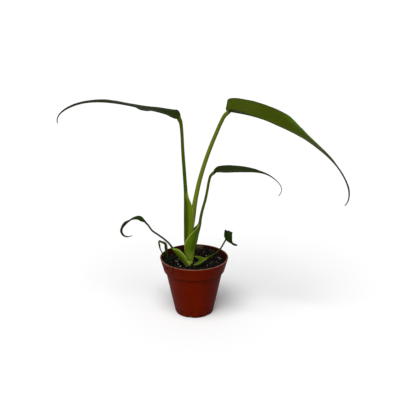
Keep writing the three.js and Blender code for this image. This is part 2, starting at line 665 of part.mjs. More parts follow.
// A leaf: the blade starts a clearance past the end of its stalk, in the same direction
function leafGroup(leaf) {
  const group = new THREE.Group();
  const stalkCurve = spineCurve(leaf.stalk.spine);
  const onward = stalkCurve.getTangentAt(1);
  const start = stalkCurve.getPointAt(1).addScaledVector(onward, JOINT_GAP);
  const blade = bladeGeometry(leaf.blade, leaf.heading, start, onward);
  const stalk = stalkGeometry(leaf.stalk, leaf.heading);
  group.add(namedMesh(`stalk_${leaf.name}`, stalk, leaf.stalk.colour, ROUGHNESS.stalk));
  group.add(namedMesh(`blade_${leaf.name}`, blade, leaf.blade.colour, ROUGHNESS.blade));
  return group;
}

const plant = new THREE.Group();
plant.add(namedMesh('crown', toGeometry(crownSolid(0)), COLOURS.crown, ROUGHNESS.crown));
LEAVES.forEach((leaf) => plant.add(leafGroup(leaf)));
const bentShoot = stalkGeometry(BENT_SHOOT, BENT_SHOOT.heading);
plant.add(namedMesh('bent_shoot', bentShoot, COLOURS.midStalk, ROUGHNESS.stalk));

const pottedPlant = new THREE.Group();
pottedPlant.add(namedMesh('pot', potGeometry(), COLOURS.pot, ROUGHNESS.pot));
pottedPlant.add(namedMesh('soil', soilGeometry(), COLOURS.soil, ROUGHNESS.soil));
pottedPlant.add(plant);

export default pottedPlant;
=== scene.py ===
"""Dresses the potted drip-tip aroid: moulded pot, potting mix, crown, sheathed stalks and blades.

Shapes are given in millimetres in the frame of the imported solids: +Z up, the origin in the
middle of the pot's flat bottom, +X the side of the newest leaf, +Y away from the camera.
"""
import json
import logging
import math
from dataclasses import dataclass, field
from enum import Enum
from functools import cache

import bpy
import numpy as np
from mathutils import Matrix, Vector

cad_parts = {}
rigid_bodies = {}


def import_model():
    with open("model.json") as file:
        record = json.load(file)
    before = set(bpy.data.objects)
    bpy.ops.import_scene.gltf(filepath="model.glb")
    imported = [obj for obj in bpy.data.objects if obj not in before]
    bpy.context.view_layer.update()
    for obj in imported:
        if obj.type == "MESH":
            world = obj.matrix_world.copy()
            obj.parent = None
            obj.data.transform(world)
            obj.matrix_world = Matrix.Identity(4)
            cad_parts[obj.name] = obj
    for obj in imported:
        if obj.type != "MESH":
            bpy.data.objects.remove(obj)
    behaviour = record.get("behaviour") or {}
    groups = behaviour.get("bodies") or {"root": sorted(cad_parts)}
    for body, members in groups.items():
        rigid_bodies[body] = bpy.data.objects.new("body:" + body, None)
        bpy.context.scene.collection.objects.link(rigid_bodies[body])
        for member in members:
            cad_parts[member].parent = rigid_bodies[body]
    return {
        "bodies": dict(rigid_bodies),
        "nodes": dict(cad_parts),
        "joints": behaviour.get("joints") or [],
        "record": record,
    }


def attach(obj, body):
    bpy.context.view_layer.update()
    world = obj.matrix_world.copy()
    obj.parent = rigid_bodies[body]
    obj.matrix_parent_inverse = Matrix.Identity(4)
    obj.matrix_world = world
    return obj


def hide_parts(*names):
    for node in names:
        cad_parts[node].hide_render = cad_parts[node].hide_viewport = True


LOG = logging.getLogger("potted_aroid")

MM = 0.001
LATTICE_SIDE = 32
SEED_SHIFT = 0.37
LEAF_TINT = (0.86, 1.0, 0.2, 1)
CHIP_STRETCH = (1.6, 0.75, 0.35)
Stops = tuple[tuple[float, float], ...]
Points = tuple[tuple[float, float, float], ...]
Band = tuple[float, float]
Number = float | np.ndarray
Socket = bpy.types.NodeSocket
Feed = Socket | float | str | tuple | None
Feeds = dict[str | int, Feed]


# Numbers: smooth profiles, spines and noise


def cubic(
    t: np.ndarray, start: np.ndarray, end: np.ndarray, out: np.ndarray, into: np.ndarray
) -> np.ndarray:
    """A cubic between two values, with given slopes at both.

    Args:
        t: how far along, from 0 to 1.
        start: the value at 0.
        end: the value at 1.
        out: the slope at 0.
        into: the slope at 1.

    Returns:
        The values along it.
    """
    return (
        (2 * t**3 - 3 * t**2 + 1) * start + (t**3 - 2 * t**2 + t) * out
        + (3 * t**2 - 2 * t**3) * end + (t**3 - t**2) * into
    )


def smooth_profile(stops: Stops, places: np.ndarray) -> np.ndarray:
    """Values of a smooth line through stops.

    Between two stops the line is a cubic whose end slopes are the mean of the straight
    slopes on either side, and the straight slope itself at the two ends.

    Args:
        stops: (place, value) pairs with rising places.
        places: where the line is wanted, held within the first and last stop.

    Returns:
        One value for each place.
    """
    knots, values = np.array(stops, float).T
    places = np.clip(places, knots[0], knots[-1])
    steps = np.diff(knots)
    chords = np.diff(values) / steps
    slopes = np.concatenate([chords[:1], (chords[:-1] + chords[1:]) / 2, chords[-1:]])
    k = np.clip(np.searchsorted(knots, places, side="right") - 1, 0, len(steps) - 1)
    t = (places - knots[k]) / steps[k]
    return cubic(t, values[k], values[k + 1], steps[k] * slopes[k], steps[k] * slopes[k + 1])


def unit(vectors: np.ndarray) -> np.ndarray:
    """The vectors along the last axis, each at length one."""
    return vectors / np.linalg.norm(vectors, axis=-1, keepdims=True)


def ease(values: np.ndarray, low: float, high: float) -> np.ndarray:
    """0 below low, 1 above high, and a smooth S between them."""
    t = np.clip((values - low) / (high - low), 0, 1)
    return t * t * (3 - 2 * t)


def lattice_noise(points: np.ndarray, scale: float, seed: int, octaves: int = 1) -> np.ndarray:
    """Smooth repeatable noise from -1 to 1.

    Random values sit on the corners of a cubic lattice and are blended with an S-curve
    inside each cell. Each further octave is twice as fine and half as strong.

    Args:
        points: an array whose last axis holds x, y and z.
        scale: cells to the millimetre.
        seed: picks the random values.
        octaves: how many layers are added up.

    Returns:
        One value for each point.
    """
    total = np.zeros(points.shape[:-1])
    for octave in range(octaves):
        table = np.random.default_rng(seed + octave).uniform(-1, 1, (LATTICE_SIDE,) * 3)
        spot = points * scale * 2**octave + SEED_SHIFT * seed
        cell = np.floor(spot).astype(int)
        share = spot - cell
        share = share * share * (3 - 2 * share)
        value = np.zeros(points.shape[:-1])
        for corner in range(8):
            bits = np.array([corner & 1, corner >> 1 & 1, corner >> 2 & 1])
            weight = np.prod(np.where(bits == 1, share, 1 - share), axis=-1)
            index = (cell + bits) % LATTICE_SIDE
            value += weight * table[tuple(np.moveaxis(index, -1, 0))]
        total += value / 2**octave
    return total


def even_turns(count: int) -> np.ndarray:
    """Angles evenly spaced over one whole turn."""
    return np.linspace(0, 2 * np.pi, count, endpoint=False)


def around_axis(radius: Number, angle: np.ndarray, z: Number) -> np.ndarray:
    """Points at a radius and an angle about the z axis, and at a height."""
    return np.stack(np.broadcast_arrays(radius * np.cos(angle), radius * np.sin(angle), z), -1)


@dataclass(frozen=True)
class Frames:
    """Places on a spine: points and the directions along it, to the far side and up."""

    point: np.ndarray
    along: np.ndarray
    far: np.ndarray
    up: np.ndarray

    def aside(self, sideways: np.ndarray, upward: np.ndarray) -> np.ndarray:
        """A row of points at each place, this far to the far side and up."""
        across = sideways[..., None] * self.far[:, None]
        return self.point[:, None] + across + upward[..., None] * self.up[:, None]


@dataclass
class Spine:
    """A smooth line through points, measured by its own length.

    Each stretch is a cubic between two points. Its end slopes come from the neighbouring
    points, spaced by the square root of their distances, so that the line doesn't loop.
    """

    knots: Points
    samples: int = 80
    length: float = field(init=False)

    def __post_init__(self) -> None:
        """Works out the line and the length up to each of its samples."""
        knots = np.array(self.knots, float)
        padded = np.vstack([2 * knots[0] - knots[1], knots, 2 * knots[-1] - knots[-2]])
        a, b, c, d = padded[:-3], padded[1:-2], padded[2:-1], padded[3:]
        ab, bc, cd = (
            np.sqrt(np.linalg.norm(to - start, axis=1))[:, None]
            for start, to in ((a, b), (b, c), (c, d))
        )
        out = ((b - a) / ab - (c - a) / (ab + bc) + (c - b) / bc) * bc
        into = ((c - b) / bc - (d - b) / (bc + cd) + (d - c) / cd) * bc
        t = np.linspace(0, 1, self.samples + 1)[None, :, None]
        b, c, out, into = (part[:, None] for part in (b, c, out, into))
        line = cubic(t, b, c, out, into)
        slope = (
            6 * (t**2 - t) * b + (3 * t**2 - 4 * t + 1) * out
            + 6 * (t - t**2) * c + (3 * t**2 - 2 * t) * into
        )
        self._line = np.vstack([line[:, :-1].reshape(-1, 3), line[-1, -1:]])
        self._slope = unit(np.vstack([slope[:, :-1].reshape(-1, 3), slope[-1, -1:]]))
        reach = np.linalg.norm(np.diff(self._line, axis=0), axis=1)
        self._reach = np.concatenate([[0], np.cumsum(reach)])
        self.length = float(self._reach[-1])

    def at(self, places: np.ndarray) -> tuple[np.ndarray, np.ndarray]:
        """Points and directions on the line, and straight on beyond either end.

        Args:
            places: shares of the length, from 0 to 1 on the line itself.

        Returns:
            A point and a direction for each place.
        """
        reach = np.asarray(places, float) * self.length
        held = np.clip(reach, 0, self.length)
        point, along = (
            np.stack([np.interp(held, self._reach, part[:, axis]) for axis in range(3)], -1)
            for part in (self._line, self._slope)
        )
        along = unit(along)
        return point + along * (reach - held)[:, None], along

    def frames(self, places: np.ndarray, heading: int, roll: Number = 0) -> Frames:
        """Directions at places on the spine.

        The far side is +Y made square to the spine, then turned about it by roll. Up is
        square to both, on the side where a leaf with this heading has its upper face.

        Args:
            places: shares of the spine's length.
            heading: 1 for a leaf that goes right and -1 for one that goes left.
            roll: turn about the spine in degrees, one for all or one for each place.

        Returns:
            The points and directions.
        """
        point, along = self.at(places)
        away = np.array([0.0, 1.0, 0.0])
        far = unit(away - (along @ away)[:, None] * along)
        turn = heading * np.radians(np.broadcast_to(roll, np.shape(places)))[:, None]
        far = far * np.cos(turn) + np.cross(along, far) * np.sin(turn)
        return Frames(point, along, far, heading * np.cross(along, far))


# Meshes


@dataclass
class Shape:
    """A mesh in the making: points in millimetres, quads, triangles, UVs and point values."""

    points: np.ndarray
    quads: np.ndarray
    triangles: np.ndarray = field(default_factory=lambda: np.zeros((0, 3), int))
    uv: np.ndarray | None = None
    values: dict[str, np.ndarray] = field(default_factory=dict)

    def outward(self) -> "Shape":
        """Turns the faces of a closed shape out, judged by its signed volume.

        Returns:
            The same shape.
        """
        quads = np.asarray(self.quads).reshape(-1, 4)
        halves = np.vstack([quads[:, [0, 1, 2]], quads[:, [0, 2, 3]], self.triangles])
        a, b, c = (self.points[halves[:, k]] for k in range(3))
        if np.einsum("ij,ij->", a, np.cross(b, c)) < 0:
            self.quads = quads[:, ::-1]
            self.triangles = self.triangles[:, ::-1]
        return self

    def mesh(self, name: str) -> bpy.types.Mesh:
        """Writes the shape into a Blender mesh, in metres.

        Args:
            name: the mesh's name.

        Returns:
            The mesh.
        """
        mesh = bpy.data.meshes.new(name)
        quads = np.asarray(self.quads).reshape(-1, 4)
        loops = np.concatenate([quads.ravel(), self.triangles.ravel()]).astype(np.int32)
        ends = 4 * len(quads)
        starts = np.concatenate(
            [np.arange(0, ends, 4), np.arange(ends, ends + 3 * len(self.triangles), 3)]
        )
        mesh.vertices.add(len(self.points))
        mesh.vertices.foreach_set("co", (self.points * MM).astype(np.float32).ravel())
        mesh.loops.add(len(loops))
        mesh.loops.foreach_set("vertex_index", loops)
        mesh.polygons.add(len(starts))
        mesh.polygons.foreach_set("loop_start", starts.astype(np.int32))
        if self.uv is not None:
            layer = mesh.uv_layers.new(name="Surface")
            layer.uv.foreach_set("vector", self.uv[loops].astype(np.float32).ravel())
        for label, numbers in self.values.items():
            value = mesh.attributes.new(label, "FLOAT", "POINT")
            value.data.foreach_set("value", numbers.astype(np.float32).ravel())
        mesh.update(calc_edges=True)
        mesh.validate()
        return mesh


def grid_quads(rows: int, columns: int, first: int = 0, around: bool = False) -> np.ndarray:
    """Quads between the points of a grid numbered row by row from first.

    Args:
        rows: rows of points.
        columns: points in a row.
        first: the number of the grid's first point.
        around: whether each row closes on itself.

    Returns:
        An array of quads.
    """
    index = first + np.arange(rows * columns).reshape(rows, columns)
    if around:
        index = np.hstack([index, index[:, :1]])
    a, b, c, d = index[:-1, :-1], index[:-1, 1:], index[1:, 1:], index[1:, :-1]
    return np.stack([a, b, c, d], -1).reshape(-1, 4)


def strip_quads(one: np.ndarray, other: np.ndarray) -> np.ndarray:
    """Quads between two rows of point numbers."""
    return np.stack([one[:-1], one[1:], other[1:], other[:-1]], -1)


def repeat_faces(faces: np.ndarray, copies: int, each: int) -> np.ndarray:
    """The faces of many copies, numbered one after another, of a blank with each points."""
    return (faces[None] + (np.arange(copies) * each)[:, None, None]).reshape(-1, faces.shape[1])


def closed_rings(rings: np.ndarray, poles: Points, uv: np.ndarray | None = None) -> Shape:
    """A closed shape of rings, with a fan of triangles to a pole at either end.

    Args:
        rings: the points, by ring, place around it and axis.
        poles: the point before the first ring and the one after the last.
        uv: a pair for each point, with those of the poles last.

    Returns:
        The shape, with its faces turned out.
    """
    rows, around = rings.shape[:2]
    here = np.arange(around)
    there = np.roll(here, -1)
    count = rows * around
    last = count - around
    fans = np.vstack([
        np.stack([np.full_like(here, count), there, here], -1),
        np.stack([np.full_like(here, count + 1), last + here, last + there], -1),
    ])
    points = np.vstack([rings.reshape(-1, 3), poles])
    return Shape(points, grid_quads(rows, around, around=True), fans, uv).outward()


def tube_faces(rows: int, sides: int) -> tuple[np.ndarray, np.ndarray]:
    """The faces of a closed tube.

    Args:
        rows: rows of points along it.
        sides: points in a row.

    Returns:
        Quads along the tube, and the triangles that close its ends.
    """
    ends = np.array([[0, k + 1, k] for k in range(1, sides - 1)])
    far_end = (rows - 1) * sides + ends[:, ::-1]
    return grid_quads(rows, sides, around=True), np.vstack([ends, far_end])


def add_piece(
    name: str,
    form: Shape | bpy.types.Mesh,
    material: bpy.types.Material,
    stands_for: tuple[str, ...] = (),
    sharp_degrees: float = 60,
) -> None:
    """Puts a mesh into the scene as a piece of the object, riding on the root body.

    Args:
        name: the piece's name.
        form: its shape or mesh, with its place in its points.
        material: its finish.
        stands_for: the CAD nodes that it replaces.
        sharp_degrees: edges bent by more than this stay crisp.
    """
    mesh = form.mesh(name) if isinstance(form, Shape) else form
    mesh.materials.append(material)
    mesh.polygons.foreach_set("use_smooth", np.ones(len(mesh.polygons), bool))
    mesh.set_sharp_from_angle(angle=math.radians(sharp_degrees))
    piece = bpy.data.objects.new(name, mesh)
    bpy.context.scene.collection.objects.link(piece)
    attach(piece, "root")
    if stands_for:
        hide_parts(*stands_for)
    LOG.info("%s: %d faces", name, len(mesh.polygons))


# Shader nodes, and the masks that several finishes share


def linear(colour: str) -> tuple[float, float, float, float]:
    """The scene-linear form of a colour.

    Args:
        colour: six hex digits after a #.

    Returns:
        Red, green, blue and 1.
    """
    shares = (int(colour[k:k + 2], 16) / 255 for k in (1, 3, 5))
    channels = (s / 12.92 if s <= 0.04045 else ((s + 0.055) / 1.055) ** 2.4 for s in shares)
    return (*channels, 1.0)


@dataclass
class Wiring:
    """Adds nodes to a shader tree and joins them, one short call for each kind."""

    tree: bpy.types.NodeTree

    def fill(self, node: bpy.types.Node, feeds: Feeds) -> bpy.types.Node:
        """Links a node's inputs to other sockets, or sets them to plain values.

        Args:
            node: the node.
            feeds: a socket, value, hex colour or None (leave it) for each input, by name or
                number.

        Returns:
            The same node.
        """
        for key, value in feeds.items():
            if isinstance(value, Socket):
                self.tree.links.new(value, node.inputs[key])
            elif value is not None:
                plain = linear(value) if isinstance(value, str) else value
                node.inputs[key].default_value = plain
        return node

    def node(self, kind: str, feeds: Feeds | None = None, **settings: object) -> bpy.types.Node:
        """A new node.

        Args:
            kind: the node's type.
            feeds: what its inputs get.
            settings: its properties.

        Returns:
            The node.
        """
        made = self.tree.nodes.new(kind)
        for key, value in settings.items():
            setattr(made, key, value)
        return self.fill(made, feeds or {})

    def math(self, operation: str, *values: Feed, clamp: bool = False) -> Socket:
        """A Math node's result."""
        feeds = dict(enumerate(values))
        return self.node("ShaderNodeMath", feeds, operation=operation, use_clamp=clamp).outputs[0]

    def times(self, one: Feed, other: Feed) -> Socket:
        """One value times another."""
        return self.math("MULTIPLY", one, other)

    def stretch(self, vector: Socket, scale: tuple[float, float, float]) -> Socket:
        """A vector multiplied axis by axis."""
        feeds = {0: vector, 1: scale}
        return self.node("ShaderNodeVectorMath", feeds, operation="MULTIPLY").outputs[0]

    def split(self, vector: Socket) -> tuple[Socket, ...]:
        """The x, y and z of a vector."""
        return tuple(self.node("ShaderNodeSeparateXYZ", {0: vector}).outputs)

    def span(self, value: Socket, low: Feed, high: Feed) -> Socket:
        """0 where value is low, 1 where it is high, and a smooth S between."""
        feeds = {"Value": value, "From Min": low, "From Max": high}
        return self.node("ShaderNodeMapRange", feeds, interpolation_type="SMOOTHSTEP").outputs[0]

    def span_mm(self, value: Socket, band: Band, start: float = 0) -> Socket:
        """The same over a band in millimetres, counted from start."""
        return self.span(value, *((start + place) * MM for place in band))

    def between(self, value: Socket, low: float, high: float) -> Socket:
        """A value from 0 to 1 spread evenly from low to high."""
        feeds = {"Value": value, "To Min": low, "To Max": high}
        return self.node("ShaderNodeMapRange", feeds).outputs[0]

    def noise(
        self, vector: Socket, scale: Feed, detail: float = 3, distortion: float = 0,
        output: str = "Fac",
    ) -> Socket:
        """A Noise Texture's value, or its Color to bend a place with."""
        feeds = {"Vector": vector, "Scale": scale, "Detail": detail, "Distortion": distortion}
        return self.node("ShaderNodeTexNoise", feeds).outputs[output]

    def mix(self, share: Feed, one: Feed, other: Feed) -> Socket:
        """A colour that goes from one to other as share goes from 0 to 1."""
        feeds = {0: share, 6: one, 7: other}
        return self.node("ShaderNodeMix", feeds, data_type="RGBA").outputs[2]

    def over(self, colour: Feed, paint: Feed, mask: Socket, share: float = 1) -> Socket:
        """A colour with paint over it, as strong as the mask times a share."""
        return self.mix(mask if share == 1 else self.times(mask, share), colour, paint)

    def attribute(self, name: str) -> Socket:
        """A value stored on the mesh's points."""
        return self.node("ShaderNodeAttribute", attribute_name=name).outputs["Fac"]

    def coordinates(self, output: str) -> Socket:
        """An output of Texture Coordinate, Object or UV."""
        return self.node("ShaderNodeTexCoord").outputs[output]

    def camera_ray(self) -> Socket:
        """1 where the camera looks straight at the surface and 0 for its light on others."""
        return self.node("ShaderNodeLightPath").outputs["Is Camera Ray"]

    def bump(
        self, height: Socket, strength: float, depth: float, normal: Socket | None = None
    ) -> Socket:
        """A Bump node's normal for a height from 0 to 1 that is depth metres deep."""
        feeds = {"Strength": strength, "Distance": depth, "Height": height, "Normal": normal}
        return self.node("ShaderNodeBump", feeds).outputs[0]

    def group(self, tree: bpy.types.NodeTree, **values: Feed) -> Socket:
        """A placed node group's mask, with its named inputs fed."""
        return self.node("ShaderNodeGroup", values, node_tree=tree).outputs[0]


@dataclass
class MaskGroup:
    """A node group in the making, with a Vector input, float inputs and one Mask output."""

    name: str
    floats: tuple[str, ...]

    def __post_init__(self) -> None:
        """Makes the group's tree, with its sockets and its wiring."""
        self.tree = bpy.data.node_groups.new(self.name, "ShaderNodeTree")
        sockets = self.tree.interface
        sockets.new_socket("Vector", in_out="INPUT", socket_type="NodeSocketVector")
        for label in self.floats:
            sockets.new_socket(label, in_out="INPUT", socket_type="NodeSocketFloat")
        sockets.new_socket("Mask", in_out="OUTPUT", socket_type="NodeSocketFloat")
        self.w = Wiring(self.tree)
        self.given = [s for s in self.w.node("NodeGroupInput").outputs if s.name]

    def finished(self, mask: Socket) -> bpy.types.NodeTree:
        """The group's tree, with the mask as what it puts out."""
        self.w.node("NodeGroupOutput", {0: mask})
        return self.tree


@cache
def mottle() -> bpy.types.NodeTree:
    """Soft blotches: broad noise warped a little, with finer noise over it.

    Returns:
        The group.
    """
    group = MaskGroup("Mottle", ("Scale", "Contrast"))
    w, (place, scale, contrast) = group.w, group.given
    broad = w.noise(place, scale, detail=2, distortion=0.6)
    fine = w.noise(place, w.times(scale, 5.3), detail=4)
    blend = w.math("MULTIPLY_ADD", fine, 0.35, w.times(broad, 0.65))
    strong = w.times(w.math("SUBTRACT", blend, 0.5), contrast)
    return group.finished(w.math("ADD", strong, 0.5, clamp=True))


@cache
def flecks() -> bpy.types.NodeTree:
    """Small scattered specks: the middles of irregular cells, of which few are kept.

    Returns:
        The group.
    """
    group = MaskGroup("Flecks", ("Scale", "Share", "Size"))
    w, (place, scale, share, size) = group.w, group.given
    cells = w.node("ShaderNodeTexVoronoi", {"Vector": place, "Scale": scale})
    spot = w.span(cells.outputs["Distance"], size, w.times(size, 0.6))
    kept = w.math("LESS_THAN", w.split(cells.outputs["Color"])[0], share)
    return group.finished(w.times(spot, kept))


@cache
def streaks() -> bpy.types.NodeTree:
    """Fine lines along a stalk: noise drawn out along x and crowded across y.

    Returns:
        The group.
    """
    group = MaskGroup("Streaks", ("Along", "Across"))
    w, (place, along, across) = group.w, group.given
    x, y, _ = w.split(place)
    joined = w.node("ShaderNodeCombineXYZ", {0: w.times(x, along), 1: w.times(y, across)})
    return group.finished(w.span(w.noise(joined.outputs[0], 1), 0.32, 0.68))


@cache
def side_veins() -> bpy.types.NodeTree:
    """Slanting side veins: lines where the length along the midrib less a share of the
    distance from it comes round to a whole number of spacings.

    Returns:
        The group.
    """
    group = MaskGroup("SideVeins", ("Spacing", "Slant", "Width"))
    w, (place, spacing, slant, width) = group.w, group.given
    x, y, _ = w.split(place)
    drawn = w.times(w.math("ABSOLUTE", y), slant)
    phase = w.math("DIVIDE", w.math("SUBTRACT", x, drawn), spacing)
    return group.finished(w.span(w.math("PINGPONG", phase, 0.5), width, 0.0))


# Finishes


class Finish:
    """A finish that can build its material."""

    name: str

    def inputs(self, w: Wiring) -> Feeds:
        """What the inputs of the finish's shader get."""
        raise NotImplementedError

    @cache
    def material(self) -> bpy.types.Material:
        """The finish's material, built the first time that it is asked for.

        Returns:
            The material, whose Principled shader has the finish's inputs.
        """
        material = bpy.data.materials.new(self.name)
        material.use_nodes = True
        shader = next(n for n in material.node_tree.nodes if n.type == "BSDF_PRINCIPLED")
        wiring = Wiring(material.node_tree)
        wiring.fill(shader, self.inputs(wiring))
        return material


@dataclass(frozen=True)
class PotFinish(Finish):
    """Thin moulded red plastic: mottled, some soil, painted shade on the right, inside and under the
    collar, and a worn rim edge with a painted highlight.
    """

    name: str = "moulded_plastic"
    deep: str = "#641200"
    warm: str = "#7a1b00"
    # Painted shade for the pot's right side.
    shade: str = "#4a0801"
    # Pale rim edge: partly wear, partly a painted highlight.
    lip_wear_and_highlight: str = "#94705f"
    # Painted shade for the pot's inner wall.
    inner: str = "#2e0d06"
    # Painted shade for the fold under the collar.
    crease_shade: str = "#280300"
    dust: str = "#140a06"
    lip_height: float = 47.0
    lip_band: Band = (-0.34, -0.08)
    crease_height: float = 35.9
    crease_foot: Band = (-1.3, -0.2)
    crease_head: Band = (1.4, 0.7)
    shaded_side: Band = (2, 26)
    facing_in: Band = (0, -4)
    dusty_rim: Band = (36, 42)
    dusty_side: Band = (-2, -20)
    dusty_foot: Band = (12, 2)
    speck_warp: float = 0.0008

    def dusty(self, w: Wiring, place: Socket) -> Socket:
        """Uneven specks under the rim on the left and, fainter, low on the pot.

        Args:
            w: the material's wiring.
            place: the place on the pot.

        Returns:
            A mask.
        """
        x, _, z = w.split(place)
        bend = w.noise(place, 620, detail=2, output="Color")
        feeds = {0: bend, 1: (self.speck_warp,) * 3, 2: place}
        bent = w.node("ShaderNodeVectorMath", feeds, operation="MULTIPLY_ADD").outputs[0]
        specks = w.group(flecks(), Vector=bent, Scale=480.0, Share=0.6, Size=0.55)
        under_rim = w.times(w.span_mm(z, self.dusty_rim), w.span_mm(x, self.dusty_side))
        low = w.times(w.span_mm(z, self.dusty_foot), 0.6)
        return w.times(specks, w.math("MAXIMUM", under_rim, low))

    def inputs(self, w: Wiring) -> Feeds:
        """Mottled plastic, painted shade on the right, on the inner wall and under the collar,
        the worn rim edge with a painted highlight, and dust.

        The inner wall is where the surface faces the pot's axis.

        Args:
            w: the material's wiring.

        Returns:
            What the shader's inputs get.
        """
        place = w.coordinates("Object")
        x, y, z = w.split(place)
        blotch = w.group(mottle(), Vector=place, Scale=55.0, Contrast=1.6)
        colour = w.mix(blotch, self.deep, self.warm)
        # Painted shade: the right side of the pot darkened towards +X.
        colour = w.over(colour, self.shade, w.span_mm(x, self.shaded_side), share=0.6)
        normal = w.split(w.node("ShaderNodeNewGeometry").outputs["True Normal"])
        facing = w.math("ADD", w.times(x, normal[0]), w.times(y, normal[1]))
        # Painted shade: the inner wall, which faces the axis, darkened.
        colour = w.over(colour, self.inner, w.span_mm(facing, self.facing_in))
        # Painted shade: a dark band in the fold under the collar, where it overhangs the body.
        below = w.span_mm(z, self.crease_foot, self.crease_height)
        above = w.span_mm(z, self.crease_head, self.crease_height)
        colour = w.over(colour, self.crease_shade, w.times(below, above), share=0.54)
        # The rim's top edge paler in patches: partly wear, partly a painted highlight.
        lip_wear_and_highlight = w.span_mm(z, self.lip_band, self.lip_height)
        scuffs_and_glints = w.group(mottle(), Vector=place, Scale=210.0, Contrast=3.0)
        colour = w.over(colour, self.lip_wear_and_highlight, w.times(lip_wear_and_highlight, w.between(scuffs_and_glints, 0.25, 1.0)))
        dusty = self.dusty(w, place)
        grain = w.noise(w.stretch(place, (1, 1, 0.35)), 900)
        draw_marks = w.noise(w.stretch(place, (1, 1, 0.04)), 420, detail=2)
        relief = w.bump(draw_marks, strength=0.12, depth=0.0002)
        relief = w.bump(grain, strength=0.1, depth=0.0001, normal=relief)
        return {
            "Base Color": w.over(colour, self.dust, dusty),
            "Roughness": w.math("MAXIMUM", w.between(grain, 0.37, 0.49), w.times(dusty, 0.9)),
            "Normal": w.bump(dusty, strength=0.5, depth=0.0003, normal=relief),
            "Specular IOR Level": 0.07,
            "Specular Tint": (1.0, 0.24, 0.06, 1),
        }


@dataclass(frozen=True)
class SoilFinish(Finish):
    """Dark moist potting mix: near-black peat with browner fibres and pale dust."""

    name: str = "potting_mix"
    peat: str = "#040302"
    bark: str = "#0d0a06"
    pale: str = "#6e624c"

    def inputs(self, w: Wiring) -> Feeds:
        """Two browns in blotches, the darker one shinier, with pale specks.

        Args:
            w: the material's wiring.

        Returns:
            What the shader's inputs get.
        """
        place = w.coordinates("Object")
        blotch = w.group(mottle(), Vector=place, Scale=240.0, Contrast=2.6)
        specks = w.group(flecks(), Vector=place, Scale=900.0, Share=0.06, Size=0.4)
        grain = w.noise(place, 1500, detail=5)
        return {
            "Base Color": w.over(w.mix(blotch, self.peat, self.bark), self.pale, specks, share=0.7),
            "Roughness": w.between(blotch, 0.98, 0.72),
            "Normal": w.bump(grain, strength=0.9, depth=0.0005),
            "Specular IOR Level": 0.12,
        }


@dataclass(frozen=True)
class CrumbFinish(Finish):
    """Loose bits, each with its own tone between two colours."""

    name: str
    dark: str
    light: str
    roughness: float = 0.85

    def inputs(self, w: Wiring) -> Feeds:
        """The tone stored on the bit, with some blotches added.

        Args:
            w: the material's wiring.

        Returns:
            What the shader's inputs get.
        """
        place = w.coordinates("Object")
        blotch = w.group(mottle(), Vector=place, Scale=600.0, Contrast=1.5)
        tone = w.math("MULTIPLY_ADD", blotch, 0.35, w.times(w.attribute("tone"), 0.75))
        return {
            "Base Color": w.mix(tone, self.dark, self.light),
            "Roughness": w.between(blotch, self.roughness, self.roughness - 0.15),
            "Normal": w.bump(w.noise(place, 1400, detail=4), strength=0.5, depth=0.0002),
            "Specular IOR Level": 0.12,
        }


@dataclass(frozen=True)
class StalkFinish(Finish):
    """Smooth leaf stalk: a colour for its base, middle and top, streaks and a pale margin."""

    name: str
    base: str
    middle: str
    top: str
    margin: str = "#8f9c4a"
    hollow: str = "#6c8420"
    # Paler wing tone, partly the wings' own and partly painted light.
    wing: str = "#7a9020"
    top_from: float = 0.35
    top_full: float = 0.95
    base_band: Band = (0.0, 0.16)

    def inputs(self, w: Wiring) -> Feeds:
        """The three colours along the stalk under streaks, the hollow face's tone, blotches, the
        wings' paler tone with painted light over it, the margin and flecks.

        Args:
            w: the material's wiring.

        Returns:
            What the shader's inputs get.
        """
        place, surface = w.coordinates("Object"), w.coordinates("UV")
        along = w.attribute("height")
        colour = w.mix(w.span(along, *self.base_band), self.base, self.middle)
        colour = w.mix(w.span(along, self.top_from, self.top_full), colour, self.top)
        fine_lines = w.group(streaks(), Vector=surface, Along=7.0, Across=9.0)
        colour = w.over(colour, w.mix(0.5, colour, self.hollow), fine_lines, share=0.3)
        colour = w.over(colour, self.hollow, w.attribute("hollow"), share=0.55)
        blotch = w.group(mottle(), Vector=place, Scale=160.0, Contrast=1.3)
        colour = w.over(colour, w.mix(0.35, colour, self.top), blotch, share=0.5)
        # Paler sheath wings: partly their own tone, partly painted light that leaves the back looking
        # shaded.
        colour = w.over(colour, w.mix(0.5, colour, self.wing), w.attribute("wing"))
        colour = w.over(colour, self.margin, w.attribute("edge"))
        specks = w.group(flecks(), Vector=place, Scale=1300.0, Share=0.2, Size=0.35)
        return {
            "Base Color": w.over(colour, self.margin, specks, share=0.16),
            "Roughness": w.between(blotch, 0.33, 0.46),
            "Normal": w.bump(fine_lines, strength=0.16, depth=0.00012),
            "Specular IOR Level": 0.12,
            "Specular Tint": LEAF_TINT,
            "Subsurface Weight": 0.12,
            "Subsurface Radius": (0.5, 1.0, 0.2),
            "Subsurface Scale": 0.0012,
        }


